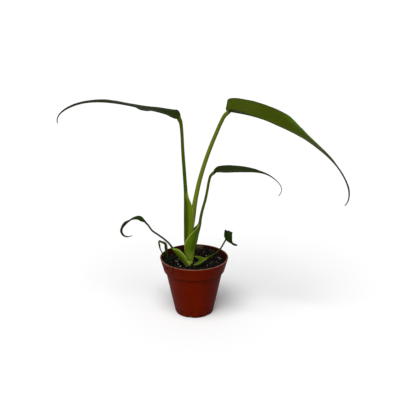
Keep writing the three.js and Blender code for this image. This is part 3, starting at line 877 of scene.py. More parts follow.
@dataclass(frozen=True)
class BladeFinish(Finish):
    """Satin leaf blade: mottled face, veins, a thin margin line and a paler back."""

    name: str
    face: str
    deep: str
    back: str
    vein: str
    margin: str
    # Brighter green painted as light on the far side, where the blade turns up.
    painted_light: str = "#4c6c06"
    tip: str = "#4a3c30"
    specular: float = 0.06
    vein_slant: float = 2.1

    def inputs(self, w: Wiring) -> Feeds:
        """The upper face over the back's tone, then veins, midrib, painted light on the far side,
        margin and tip.

        UV counts vein spacings along the midrib and out from it. There are four finer lines
        between two side veins.

        Args:
            w: the material's wiring.

        Returns:
            What the shader's inputs get.
        """
        place, surface = w.coordinates("Object"), w.coordinates("UV")
        blotch = w.group(mottle(), Vector=place, Scale=70.0, Contrast=1.5)
        upper = w.attribute("upper")
        colour = w.mix(upper, self.back, w.mix(blotch, self.deep, self.face))
        veins, lines = (
            w.group(
                side_veins(), Vector=surface, Spacing=spacing, Slant=self.vein_slant,
                Width=width,
            )
            for spacing, width in ((1.0, 0.09), (0.2, 0.3))
        )
        marks = w.math("MULTIPLY_ADD", lines, 0.3, veins, clamp=True)
        colour = w.over(colour, self.vein, marks, share=0.35)
        colour = w.over(colour, self.vein, w.attribute("rib"), share=0.6)
        # Painted light: a brighter green towards the far margin.
        colour = w.over(colour, self.painted_light, w.attribute("painted_light"), share=0.7)
        colour = w.over(colour, self.margin, w.attribute("edge"), share=0.7)
        duller = w.math("MULTIPLY_ADD", upper, -0.1, 0.46)
        relief = w.bump(marks, strength=0.22, depth=0.0002)
        grain = w.noise(place, 1100)
        return {
            "Base Color": w.over(colour, self.tip, w.attribute("tip"), share=0.75),
            "Roughness": w.math("ADD", duller, w.between(blotch, -0.04, 0.08)),
            "Normal": w.bump(grain, strength=0.12, depth=0.0001, normal=relief),
            "Specular IOR Level": self.specular,
            "Specular Tint": LEAF_TINT,
            "Subsurface Weight": 0.1,
            "Subsurface Radius": (0.4, 1.0, 0.15),
            "Subsurface Scale": 0.0008,
        }


@dataclass(frozen=True)
class FloorFinish(Finish):
    """Matt pale floor that throws less light back than it shows."""

    name: str = "pale_floor"
    shown: tuple[float, ...] = (0.9, 0.9, 0.9, 1)
    thrown: tuple[float, ...] = (0.4, 0.4, 0.4, 1)

    def inputs(self, w: Wiring) -> Feeds:
        """The shown tone to the camera, and the darker thrown one to all else."""
        colour = w.mix(w.camera_ray(), self.thrown, self.shown)
        return {"Base Color": colour, "Roughness": 1.0, "Specular IOR Level": 0.0}


# Pot and its filling


@dataclass
class NurseryPot:
    """A thin moulded pot with a collar, drain slots in its bottom edge and drain holes."""

    rim_radius: float = 27.5
    height: float = 47.0
    bottom_radius: float = 15.5
    wall: float = 1.0
    floor: float = 1.2
    collar_height: float = 11.0
    collar_foot_radius: float = 24.4
    body_top_radius: float = 23.0
    rounding: float = 0.4
    segments: int = 288
    drain_slots: int = 6
    slot_width: float = 4.0
    slot_depth: float = 3.0
    slot_height: float = 1.3
    first_slot_degrees: float = -102
    drain_holes: int = 4
    hole_radius: float = 2.0
    hole_ring: float = 8.0
    hole_sides: int = 24
    post_reach: float = 2.4
    post_point: float = 0.01
    sharp_degrees: float = 38
    finish: PotFinish = field(default_factory=PotFinish)

    @property
    def collar_foot(self) -> float:
        """The height where the collar begins."""
        return self.height - self.collar_height

    def corners(self) -> list[tuple[float, float, float]]:
        """The outline's corners, from the axis back to it.

        Returns:
            Each corner's radius, height and rounding.
        """
        collar, soft = self.collar_foot, self.rounding
        return [
            (0, 0, 0),
            (self.bottom_radius, 0, 0.7),
            (self.body_top_radius, collar - soft, 0.45),
            (self.collar_foot_radius, collar - 0.1, 0.4),
            (self.rim_radius, self.height, 0.42),
            (self.rim_radius - self.wall, self.height, 0.35),
            (self.collar_foot_radius - self.wall, collar + self.wall, 0.8),
            (self.body_top_radius - self.wall, collar - soft, 0.8),
            (self.bottom_radius - self.wall, self.floor, 0.8),
            (0, self.floor, 0),
        ]

    def outline(self) -> np.ndarray:
        """The outline with rounded corners.

        Each corner is cut back by its rounding on both sides, and a quadratic arc with the
        corner as its middle handle joins the two cuts.

        Returns:
            The outline's radii and heights.
        """
        corners = self.corners()
        spots = np.array([(r, z) for r, z, _ in corners], float)
        pieces = [spots[:1]]
        t = np.linspace(0, 1, 7)[:, None]
        for before, here, after, (_, _, soft) in zip(spots, spots[1:], spots[2:], corners[1:]):
            start = here + unit(before - here) * soft
            stop = here + unit(after - here) * soft
            pieces.append((1 - t) ** 2 * start + 2 * t * (1 - t) * here + t**2 * stop)
        pieces.append(spots[-1:])
        return np.vstack(pieces)

    def inner_radius(self, z: np.ndarray) -> np.ndarray:
        """The inner wall's radius.

        Args:
            z: heights.

        Returns:
            One radius for each height.
        """
        walls = [(z, r) for r, z, _ in self.corners()[5:9]][::-1]
        heights, radii = np.array(walls, float).T
        return np.interp(z, heights, radii)

    def shell(self) -> Shape:
        """The outline carried round the axis, closed by a fan of triangles at each pole.

        Returns:
            The pot before its drain openings are cut.
        """
        outline = self.outline()
        radius, z = outline[1:-1, :1], outline[1:-1, 1:]
        poles = ((0, 0, outline[0, 1]), (0, 0, outline[-1, 1]))
        return closed_rings(around_axis(radius, even_turns(self.segments), z), poles)

    def cutters(self) -> Shape:
        """Boxes for the drain slots and round posts for the drain holes, as one mesh.

        Returns:
            The mesh that is taken away from the shell.
        """
        box = np.array([[a, b, c] for a in (-1, 1) for b in (-1, 1) for c in (-1, 1)], float)
        box = box * [self.slot_depth, self.slot_width / 2, self.slot_height]
        box = box + [self.bottom_radius + self.rounding, 0, 0]
        sides = np.array([
            [0, 1, 3, 2], [4, 6, 7, 5], [0, 4, 5, 1], [2, 3, 7, 6], [0, 2, 6, 4], [1, 5, 7, 3],
        ])
        points, quads, count = [], [], 0
        for k in range(self.drain_slots):
            turn = math.radians(self.first_slot_degrees + 360 / self.drain_slots * k)
            ahead, aside = math.cos(turn), math.sin(turn)
            points.append(box @ np.array([[ahead, aside, 0], [-aside, ahead, 0], [0, 0, 1]]))
            quads.append(sides + count)
            count += len(box)
        size = self.hole_radius * np.array([self.post_point, 1, 1, self.post_point])
        z = self.post_reach * np.array([-1, -1, 1, 1])
        post = around_axis(size[:, None], even_turns(self.hole_sides), z[:, None])
        for k in range(self.drain_holes):
            turn = 2 * math.pi * k / self.drain_holes
            middle = self.hole_ring * np.array([math.cos(turn), math.sin(turn), 0])
            points.append((post + middle).reshape(-1, 3))
            quads.append(grid_quads(len(post), self.hole_sides, count, around=True))
            count += post.shape[0] * post.shape[1]
        return Shape(np.vstack(points), np.vstack(quads))

    def build(self) -> None:
        """Makes the shell, cuts the drain openings out of it and dresses it."""
        shell = bpy.data.objects.new("pot_blank", self.shell().mesh("pot_blank"))
        cutter = bpy.data.objects.new("pot_cutters", self.cutters().mesh("pot_cutters"))
        for part in (shell, cutter):
            bpy.context.scene.collection.objects.link(part)
        cut = shell.modifiers.new("drains", "BOOLEAN")
        cut.operation, cut.solver, cut.object = "DIFFERENCE", "EXACT", cutter
        graph = bpy.context.evaluated_depsgraph_get()
        mesh = bpy.data.meshes.new_from_object(shell.evaluated_get(graph))
        for part in (shell, cutter):
            bpy.data.objects.remove(part)
        mesh.name = "pot_shell"
        add_piece("pot_shell", mesh, self.finish.material(), ("pot",), self.sharp_degrees)


def repeatable_random(seed: int, count: int) -> np.ndarray:
    """The multiplying generator that also places the solid's lumps.

    Args:
        seed: its first state.
        count: how many numbers are wanted.

    Returns:
        The numbers, from 0 to 1.
    """
    numbers, state = [], seed
    for _ in range(count):
        state = state * 16807 % 2147483647
        numbers.append(state / 2147483647)
    return np.array(numbers)


@dataclass
class SoilBed:
    """Potting mix up to just under the rim: mounds, hollows, lumps and a crumbly surface."""

    pot: NurseryPot
    level: float = 43.2
    lumps: int = 46
    seed: int = 7
    lump_reach: float = 23.0
    least_height: float = 0.4
    least_spread: float = 1.1
    lump_range: float = 1.3
    edge_drop: float = 0.6
    mounds: tuple[tuple[float, float, float, float], ...] = (
        (-19, 0, 1.6, 7), (6, 18, 2.3, 9), (-14, 17, -2.2, 6), (22, 3, -1.6, 6),
        (-3.5, -13.8, 0.9, 2.6),
    )
    rings: int = 150
    segments: int = 288
    crumble: float = 0.5
    crumble_scale: float = 0.55
    crumble_seed: int = 11
    wall_gap: float = 0.05
    floor_gap: float = 0.1
    sharp_degrees: float = 70
    finish: SoilFinish = field(default_factory=SoilFinish)

    def __post_init__(self) -> None:
        """Lists every mound and lump as x, y, height and spread."""
        draws = repeatable_random(self.seed, 4 * self.lumps).reshape(self.lumps, 4)
        angle = 2 * np.pi * draws[:, 0]
        reach = self.lump_reach * np.sqrt(draws[:, 1])
        lumps = np.stack([
            reach * np.cos(angle), reach * np.sin(angle),
            self.least_height + self.lump_range * draws[:, 2],
            self.least_spread + self.lump_range * draws[:, 3],
        ], -1)
        self._features = np.vstack([np.array(self.mounds, float), lumps])

    def height(self, x: np.ndarray, y: np.ndarray, fine: bool = True) -> np.ndarray:
        """The surface's height: the level, plus a bell for each mound and lump, plus noise.

        Args:
            x: places across.
            y: places away from the camera.
            fine: whether the noise is added.

        Returns:
            One height for each place.
        """
        total = np.full(np.shape(x), self.level, float)
        for mx, my, high, spread in self._features:
            total += high * np.exp(-((x - mx) ** 2 + (y - my) ** 2) / spread**2)
        if fine:
            spot = np.stack([x, y, np.zeros_like(x)], -1)
            noise = lattice_noise(spot, self.crumble_scale, self.crumble_seed, octaves=4)
            total += self.crumble * noise
        return total

    def edge(self, angle: np.ndarray) -> np.ndarray:
        """Where the surface meets the pot's wall.

        Args:
            angle: directions from the axis.

        Returns:
            One radius for each direction.
        """
        near = self.pot.collar_foot_radius
        height = self.height(near * np.cos(angle), near * np.sin(angle), fine=False)
        return self.pot.inner_radius(height - self.edge_drop)

    def build(self) -> None:
        """Rings of surface points out to the wall, then down the wall to the pot's floor."""
        pot, angle = self.pot, even_turns(self.segments)
        radius = np.arange(1, self.rings + 1)[:, None] / self.rings * self.edge(angle)
        x, y = radius * np.cos(angle), radius * np.sin(angle)
        rows = [np.stack([x, y, self.height(x, y)], -1)]
        base = pot.floor + self.floor_gap
        for z in (pot.collar_foot + pot.wall, pot.collar_foot - pot.rounding, base):
            wall = float(pot.inner_radius(np.array(z))) - self.wall_gap
            rows.append(around_axis(wall, angle, z)[None])
        middle = self.height(np.zeros(1), np.zeros(1))[0]
        shape = closed_rings(np.vstack(rows), ((0, 0, middle), (0, 0, base)))
        add_piece("soil_bed", shape, self.finish.material(), ("soil",), self.sharp_degrees)


# Loose bits on the soil


class BitForm(Enum):
    """The blank that a loose bit is shaped from."""

    CRUMB = "crumb"
    CHIP = "chip"


def bit_blank(form: BitForm) -> tuple[np.ndarray, np.ndarray]:
    """A rounded crumb, or the same drawn out flat as a chip.

    The crumb is a cube with a point in the middle of each edge and face, blown up to a ball.

    Args:
        form: which of the two.

    Returns:
        Its points and quads.
    """
    steps = np.array([-1, 0, 1])
    lattice = np.stack(np.meshgrid(steps, steps, steps, indexing="ij"), -1).reshape(-1, 3)
    shell = np.abs(lattice).max(axis=1) == 1
    number = np.where(shell, np.cumsum(shell) - 1, -1).reshape(3, 3, 3)
    sides = []
    for axis in range(3):
        low, high = (np.take(number, end, axis=axis) for end in (0, 2))
        for sheet in (low, high):
            corners = (sheet[:-1, :-1], sheet[:-1, 1:], sheet[1:, 1:], sheet[1:, :-1])
            sides.append(np.stack(corners, -1).reshape(-1, 4))
    points, quads = unit(lattice[shell].astype(float)), np.vstack(sides)
    a, b, c = (points[quads[:, k]] for k in range(3))
    inward = np.einsum("ij,ij->i", a, np.cross(b - a, c - a)) < 0
    quads[inward] = quads[inward][:, ::-1]
    if form is BitForm.CHIP:
        points = points * CHIP_STRETCH
    return points, quads


def random_turns(rng: np.random.Generator, count: int) -> np.ndarray:
    """Evenly random turns, from four normal numbers each taken as a quaternion.

    Args:
        rng: the source of the numbers.
        count: how many turns are wanted.

    Returns:
        Rotation matrices.
    """
    w, x, y, z = unit(rng.normal(size=(count, 4))).T
    return np.stack([
        1 - 2 * (y * y + z * z), 2 * (x * y - z * w), 2 * (x * z + y * w),
        2 * (x * y + z * w), 1 - 2 * (x * x + z * z), 2 * (y * z - x * w),
        2 * (x * z - y * w), 2 * (y * z + x * w), 1 - 2 * (x * x + y * y),
    ], -1).reshape(count, 3, 3)


PALE_SPOTS = (
    (-18.4, 11.3, 1.5), (-14.5, -3.4, 1.2), (-12.7, -9.4, 1.5), (-11, -13.4, 1.1),
    (2.3, -0.3, 1.2), (20.2, 6, 1.2), (21.8, 6, 1), (13.5, -7.4, 1.3), (15.8, -7.4, 1),
    (17.1, 13.5, 1.3), (13.1, 20, 1.2),
)


@dataclass
class LooseBits:
    """A scatter of small bits of one kind, fused into one mesh."""

    name: str
    finish: CrumbFinish
    form: BitForm
    count: int
    least: float
    most: float
    seed: int
    reach: float = 24.0
    placed: Points = ()
    sink: float = 0.3
    rarity: float = 2.5
    corner_range: Band = (0.6, 1.25)
    squash_range: Band = (0.55, 1.25)
    sharp_degrees: float = 32

    def build(self, soil: SoilBed) -> None:
        """Scatters the bits evenly over the surface and adds those with a given place.

        Each bit is the blank with its corners pushed in or out at random, drawn out or
        squashed along each axis, turned at random and scaled. Small bits are more common
        than large ones.

        Args:
            soil: what they lie on.
        """
        rng = np.random.default_rng(self.seed)
        blank, quads = bit_blank(self.form)
        angle = rng.uniform(0, 2 * np.pi, self.count)
        reach = self.reach * np.sqrt(rng.uniform(0, 1, self.count))
        size = self.least + (self.most - self.least) * rng.uniform(0, 1, self.count) ** self.rarity
        spots = np.column_stack([reach * np.cos(angle), reach * np.sin(angle), size])
        x, y, size = np.vstack([spots, np.array(self.placed, float).reshape(-1, 3)]).T
        inside = np.hypot(x, y) < soil.edge(np.arctan2(y, x)) - size / 2
        jitter = rng.uniform(*self.corner_range, (len(size), len(blank), 1))
        squash = rng.uniform(*self.squash_range, (len(size), 1, 3))
        bits = blank[None] * jitter * squash * (size / 2)[:, None, None]
        bits = np.einsum("kij,knj->kni", random_turns(rng, len(size)), bits)
        level = soil.height(x, y) + size * (0.5 - self.sink)
        bits += np.column_stack([x, y, level])[:, None]
        tone = rng.uniform(0, 1, len(size))[inside]
        shape = Shape(
            bits[inside].reshape(-1, 3), repeat_faces(quads, len(tone), len(blank)),
            values={"tone": np.repeat(tone, len(blank))},
        )
        add_piece(self.name, shape, self.finish.material(), (), self.sharp_degrees)


@dataclass
class Fibres:
    """Thin curved fibres lying on the soil, each a five-sided tube, fused into one mesh."""

    name: str
    finish: CrumbFinish
    centre: tuple[float, float]
    spread: float
    count: int
    length: float
    thickness: float
    lift: float
    seed: int
    rise: float = 0.0
    steps: int = 10
    sides: int = 5
    bend: float = 0.45
    length_range: Band = (0.5, 1.2)
    lift_range: Band = (0.3, 1)
    thickness_range: Band = (0.6, 1.2)

    def build(self, soil: SoilBed) -> None:
        """Lays the fibres on the surface.

        Each is a flat arc: a straight run plus a sideways bend that grows with the square of
        the way along it, laid on the surface and arched up in its middle.

        Args:
            soil: what they lie on.
        """
        rng = np.random.default_rng(self.seed)
        t = np.linspace(0, 1, self.steps)[None, :, None]
        angle = rng.uniform(0, 2 * np.pi, self.count)
        spot = np.array(self.centre) + rng.normal(0, self.spread, (self.count, 2))
        ahead = np.stack([np.cos(angle), np.sin(angle)], -1)
        aside = np.stack([-np.sin(angle), np.cos(angle)], -1)
        length = (self.length * rng.uniform(*self.length_range, self.count))[:, None, None]
        bend = rng.normal(0, self.bend, self.count)[:, None, None]
        path = spot[:, None] + length * ((t - 0.5) * ahead[:, None] + bend * t**2 * aside[:, None])
        radius = np.hypot(path[..., 0], path[..., 1])
        wall = soil.edge(np.arctan2(path[..., 1], path[..., 0])) - 2 * self.thickness
        path *= np.minimum(1, wall / np.maximum(radius, 1e-6))[..., None]
        lift = self.lift * rng.uniform(*self.lift_range, self.count)[:, None]
        arch = lift * np.sin(np.pi * t[..., 0])
        climb = self.rise * rng.uniform(0, 1, self.count)[:, None]
        z = soil.height(path[..., 0], path[..., 1]) + arch + climb
        middle = np.concatenate([path, z[..., None]], -1)
        along = unit(np.gradient(middle, axis=1))
        side = unit(np.cross(along, np.array([0, 0, 1.0])))
        over = np.cross(side, along)
        turn = even_turns(self.sides)
        taper = np.sqrt(np.clip(1 - (2 * t[..., 0] - 1) ** 4, 0.04, 1))
        thick = self.thickness / 2 * rng.uniform(*self.thickness_range, self.count)[:, None] * taper
        ring = side[:, :, None] * np.cos(turn)[:, None] + over[:, :, None] * np.sin(turn)[:, None]
        points = middle[:, :, None] + thick[:, :, None, None] * ring
        each = self.steps * self.sides
        quads, ends = (
            repeat_faces(faces, self.count, each) for faces in tube_faces(self.steps, self.sides)
        )
        tone = np.repeat(rng.uniform(0, 1, self.count), each)
        shape = Shape(points.reshape(-1, 3), quads, ends, values={"tone": tone}).outward()
        add_piece(self.name, shape, self.finish.material())


@dataclass
class MossTuft:
    """Low moss and dead leaf scraps at the left rim: small pointed leaves, fused."""

    finish: CrumbFinish
    centre: tuple[float, float] = (-20.8, -1.5)
    spread: tuple[float, float] = (1.9, 4.4)
    count: int = 460
    length: float = 1.5
    sink: float = 0.1
    seed: int = 31
    tilt_range: Band = (0.1, 1.1)
    size_range: Band = (0.4, 1)

    def build(self, soil: SoilBed) -> None:
        """Scatters the leaves.

        Each is a rhombic pad: a root, two side points, a raised middle above and below, and
        a tip, pointing out and up at random.

        Args:
            soil: what they lie on.
        """
        rng = np.random.default_rng(self.seed)
        blank = np.array([
            [0, 0, 0], [0.4, -0.24, 0.05], [0.4, 0.24, 0.05], [0.45, 0, 0.16], [0.45, 0, -0.02],
            [1, 0, 0.12],
        ])
        faces = np.array([
            [0, 1, 3], [0, 3, 2], [1, 5, 3], [3, 5, 2], [0, 4, 1], [0, 2, 4], [1, 4, 5], [4, 2, 5],
        ])
        spots = np.array(self.centre) + rng.normal(0, 1, (self.count, 2)) * self.spread
        spots *= np.minimum(1, soil.pot.collar_foot_radius / np.hypot(*spots.T))[:, None]
        angle = rng.uniform(0, 2 * np.pi, self.count)
        tilt = rng.uniform(*self.tilt_range, self.count)
        zero, c, s = np.zeros(self.count), np.cos(angle), np.sin(angle)
        ct, st = np.cos(tilt), np.sin(tilt)
        turns = np.stack([c * ct, -s, -c * st, s * ct, c, -s * st, st, zero, ct], -1)
        size = self.length * rng.uniform(*self.size_range, self.count)
        leaves = np.einsum("kij,nj->kni", turns.reshape(-1, 3, 3), blank) * size[:, None, None]
        level = soil.height(spots[:, 0], spots[:, 1]) - self.sink
        leaves += np.column_stack([spots, level])[:, None]
        shape = Shape(
            leaves.reshape(-1, 3), np.zeros((0, 4), int),
            repeat_faces(faces, self.count, len(blank)),
            values={"tone": np.repeat(rng.uniform(0, 1, self.count), len(blank))},
        ).outward()
        add_piece("moss_tuft", shape, self.finish.material())


# Plant


@dataclass
class Crown:
    """The short stem: pale, ringed by old leaf scars, tapering to the rootstock and roots."""

    x: float = -4.0
    y: float = -8.3
    top: float = 46.75
    outline: Stops = (
        (24, 0.9), (28, 1.6), (33, 2.3), (39, 2.9), (43, 3.0), (45.4, 2.9), (46.75, 2.5),
    )
    rows: int = 110
    segments: int = 64
    roots: int = 5
    root_radius: float = 0.8
    root_reach: float = 6.5
    root_drop: float = 15.0
    root_start: float = 36.0
    root_taper: float = 0.55
    root_rows: int = 24
    root_sides: int = 12
    root_turn: float = 0.3
    root_rise: float = 1.5
    root_stagger: float = 1.5
    scar_depth: float = 0.07
    scar_spacing: float = 1.15
    unevenness: float = 0.14
    uneven_scale: float = 0.5
    uneven_seed: int = 5
    uneven_ring: float = 3
    top_bulge: float = 0.1
    finish: StalkFinish = field(default_factory=lambda: StalkFinish(
        "crown_skin", "#7c7a3a", "#7a8436", "#6e8228", margin="#a4a468", hollow="#8a8c4a",
    ))

    def stem(self) -> Shape:
        """The outline carried round the axis, with leaf scars as low rings and some noise.

        Returns:
            The shape, with its UV.
        """
        z = np.linspace(self.outline[0][0], self.top, self.rows)[:, None]
        angle = even_turns(self.segments)
        radius = smooth_profile(self.outline, z)
        radius = radius + self.scar_depth * np.sin(2 * np.pi * z / self.scar_spacing)
        spots = around_axis(self.uneven_ring, angle, z)
        noise = lattice_noise(spots, self.uneven_scale, self.uneven_seed, octaves=3)
        rings = around_axis(radius + self.unevenness * noise, angle, z) + [self.x, self.y, 0]
        poles = ((self.x, self.y, z[0, 0]), (self.x, self.y, self.top + self.top_bulge))
        along = np.repeat((z - z[0]) / (self.top - z[0]), self.segments, axis=1).ravel()
        side = np.tile(np.linspace(-1, 1, self.segments), self.rows)
        return closed_rings(rings, poles, np.vstack([np.stack([along, side], -1), [[0, 0], [1, 0]]]))

    def root(self, number: int) -> Shape:
        """A round tube along a line that leaves the rootstock and bends down.

        Args:
            number: which of the roots it is.

        Returns:
            The shape.
        """
        angle = 2 * math.pi * (number + self.root_turn) / self.roots
        start = self.root_start - self.root_stagger * (number % 2)
        steps = (
            (0, start + self.root_rise), (self.root_reach / 3, start),
            (0.75 * self.root_reach, start - 0.4 * self.root_drop),
            (self.root_reach, start - self.root_drop),
        )
        spine = Spine(tuple(
            (self.x + out * math.cos(angle), self.y + out * math.sin(angle), z) for out, z in steps
        ))
        places = np.linspace(0, 1, self.root_rows)
        radius = self.root_radius * (1 - self.root_taper * places)[:, None]
        turn = even_turns(self.root_sides)
        ring = spine.frames(places, 1).aside(radius * np.cos(turn), radius * np.sin(turn))
        quads, ends = tube_faces(self.root_rows, self.root_sides)
        plain = np.zeros((places.size * turn.size, 2))
        return Shape(ring.reshape(-1, 3), quads, ends, plain).outward()

    def build(self) -> None:
        """Joins the stem and its roots into one mesh and dresses it."""
        parts = [self.stem(), *(self.root(k) for k in range(self.roots))]
        shifts = np.cumsum([0] + [len(part.points) for part in parts[:-1]])
        shape = Shape(
            np.vstack([part.points for part in parts]),
            np.vstack([part.quads + shift for part, shift in zip(parts, shifts)]),
            np.vstack([part.triangles + shift for part, shift in zip(parts, shifts)]),
            np.vstack([part.uv for part in parts]),
        )
        none = np.zeros(len(shape.points))
        high = (shape.points[:, 2] - self.outline[0][0]) / (self.top - self.outline[0][0])
        shape.values = {"edge": none, "wing": none, "hollow": none, "height": high}
        add_piece("crown_stem", shape, self.finish.material(), ("crown",))


@dataclass
class Stalk:
    """A leaf stalk whose base is a sheath, as in the solids, with round thin margins.

    A section is an outer and an inner arc round the space that the sheath clasps. The back
    is as thick as the stalk and the wings are thin. Where sheath is 0 the section is a
    plain stalk with a shallow groove. A tongue draws the far margin back towards the base,
    lifted off the stalk by the tongue's rise.
    """

    spine: Points
    radius: Stops
    clasp: Stops
    finish: StalkFinish
    slot: str
    wrap_near: Stops = ((0, 23), (1, 23))
    wrap_far: Stops = ((0, 23), (1, 23))
    sheath: Stops = ((0, 0), (1, 0))
    root: Points = ()
    tongue: Stops = ((0, 0), (1, 0))
    tongue_rise: float = 0.0
    rows: int = 220
    arc: int = 41
    crowding: float = 1.4
    sunk: float = 0.9
    overrun: float = 1.3
    hollow_face: float = 0.6
    blunt_edge: float = 0.3
    rim_from: float = 0.9
    back_width: float = 1.1
    wing: float = 0.62
    knee: float = 0.12
    knee_reach: float = 0.03
    ripple: float = 0.12
    ripple_turns: float = 26
    ripple_shift: float = 2.2
    edge_band: Band = (0.86, 0.97)
    wing_band: Band = (0.25, 0.6)
    sheath_band: Band = (0.1, 0.6)
    tongue_band: Band = (0.35, 1)
    hollow_band: Band = (0, 0.5)
    least_round: float = 0.04

    def sheathed(self, held: np.ndarray) -> np.ndarray:
        """How much of a sheath there is at each place, from 0 to 1."""
        return np.clip(smooth_profile(self.sheath, held), 0, 1)

    def section(self, places: np.ndarray, frame: Frames) -> tuple[np.ndarray, np.ndarray]:
        """The section at each place.

        Args:
            places: shares of the spine, below 0 on the root stretch.
            frame: the points and directions there.

        Returns:
            The outer arc and the inner one back again, and how far across the points of an arc
            are, from -1 to 1.
        """
        held = np.clip(places, 0, 1)[:, None]
        even = np.sin(np.linspace(-1, 1, self.arc) * np.pi / 2)[None]
        across = np.sign(even) * np.abs(even) ** self.crowding
        radius, clasp, near, far, tongue = (
            smooth_profile(stops, held)
            for stops in (self.radius, self.clasp, self.wrap_near, self.wrap_far, self.tongue)
        )
        radius = radius * (1 + self.knee * np.exp(-(((1 - held) / self.knee_reach) ** 2)))
        share = self.sheathed(held)
        angle = across * np.radians(np.where(across < 0, near, far))
        body = (1 + self.hollow_face) * radius
        centre = self.hollow_face * radius + clasp
        plain = self.blunt_edge + (body - self.blunt_edge) * np.sqrt(np.clip(1 - across**2, 0, 1))
        beside = angle * (clasp + radius) / (self.back_width * radius)
        winged = self.wing + (body - self.wing) * np.exp(-(beside**2))
        past = ((np.abs(across) - self.rim_from) / (1 - self.rim_from)).clip(0)
        rounded = np.sqrt(np.clip(1 - past**2, self.least_round, 1))
        thick = (plain + (winged - plain) * share) * rounded
        turns = self.ripple_turns * held + self.ripple_shift * np.sign(across)
        wander = self.ripple * share * across**4 * np.sin(turns)
        inner = clasp + wander + (1 - rounded) * self.wing / 2
        drawn = tongue.clip(0) * ease(across, *self.tongue_band)
        rise = math.radians(self.tongue_rise)
        back = drawn[..., None] * (math.sin(rise) * frame.up - math.cos(rise) * frame.along)[:, None]
        outer_arc, inner_arc = (
            frame.aside(reach * np.sin(angle), centre - reach * np.cos(angle)) + back
            for reach in (inner + thick, inner)
        )
        ring = np.concatenate([outer_arc, inner_arc[:, ::-1]], axis=1)
        return ring, np.broadcast_to(across, share.shape[:1] + across.shape[1:])

    def build(self, name: str, heading: int) -> None:
        """Carries the section along the spine, a little past both ends, and closes it.

        Args:
            name: the CAD node that the piece replaces.
            heading: 1 for a leaf that goes right and -1 for one that goes left.
        """
        line = Spine((*self.root, *self.spine))
        own = Spine(self.spine).length
        lead = line.length - own
        reach = np.linspace(-self.sunk, line.length + self.overrun, self.rows)
        places = (reach - lead) / own
        ring, across = self.section(places, line.frames(reach / line.length, heading))
        wide = 2 * self.arc
        caps = [
            strip_quads(row + np.arange(self.arc), row + wide - 1 - np.arange(self.arc))
            for row in (0, (self.rows - 1) * wide)
        ]
        quads = np.vstack([grid_quads(self.rows, wide, around=True), caps[0][:, ::-1], caps[1]])
        loop = np.concatenate([across, across[:, ::-1]], axis=1)
        held = np.clip(places, 0, 1)[:, None]
        share = self.sheathed(held)
        on_sheath = ease(share, *self.sheath_band)
        hollow = np.concatenate([np.zeros_like(across), np.ones_like(across)], axis=1)
        values = {
            "edge": ease(np.abs(loop), *self.edge_band) * on_sheath,
            # Where the sheath's wings get their paler tone and painted light.
            "wing": ease(np.abs(loop), *self.wing_band) * on_sheath,
            "hollow": hollow * ease(share, *self.hollow_band),
            "height": np.broadcast_to(held, loop.shape),
        }
        uv = np.stack(np.broadcast_arrays(places[:, None], loop), -1).reshape(-1, 2)
        shape = Shape(ring.reshape(-1, 3), quads, uv=uv, values=values).outward()
        add_piece(f"{name}_skin", shape, self.finish.material(), (name,))


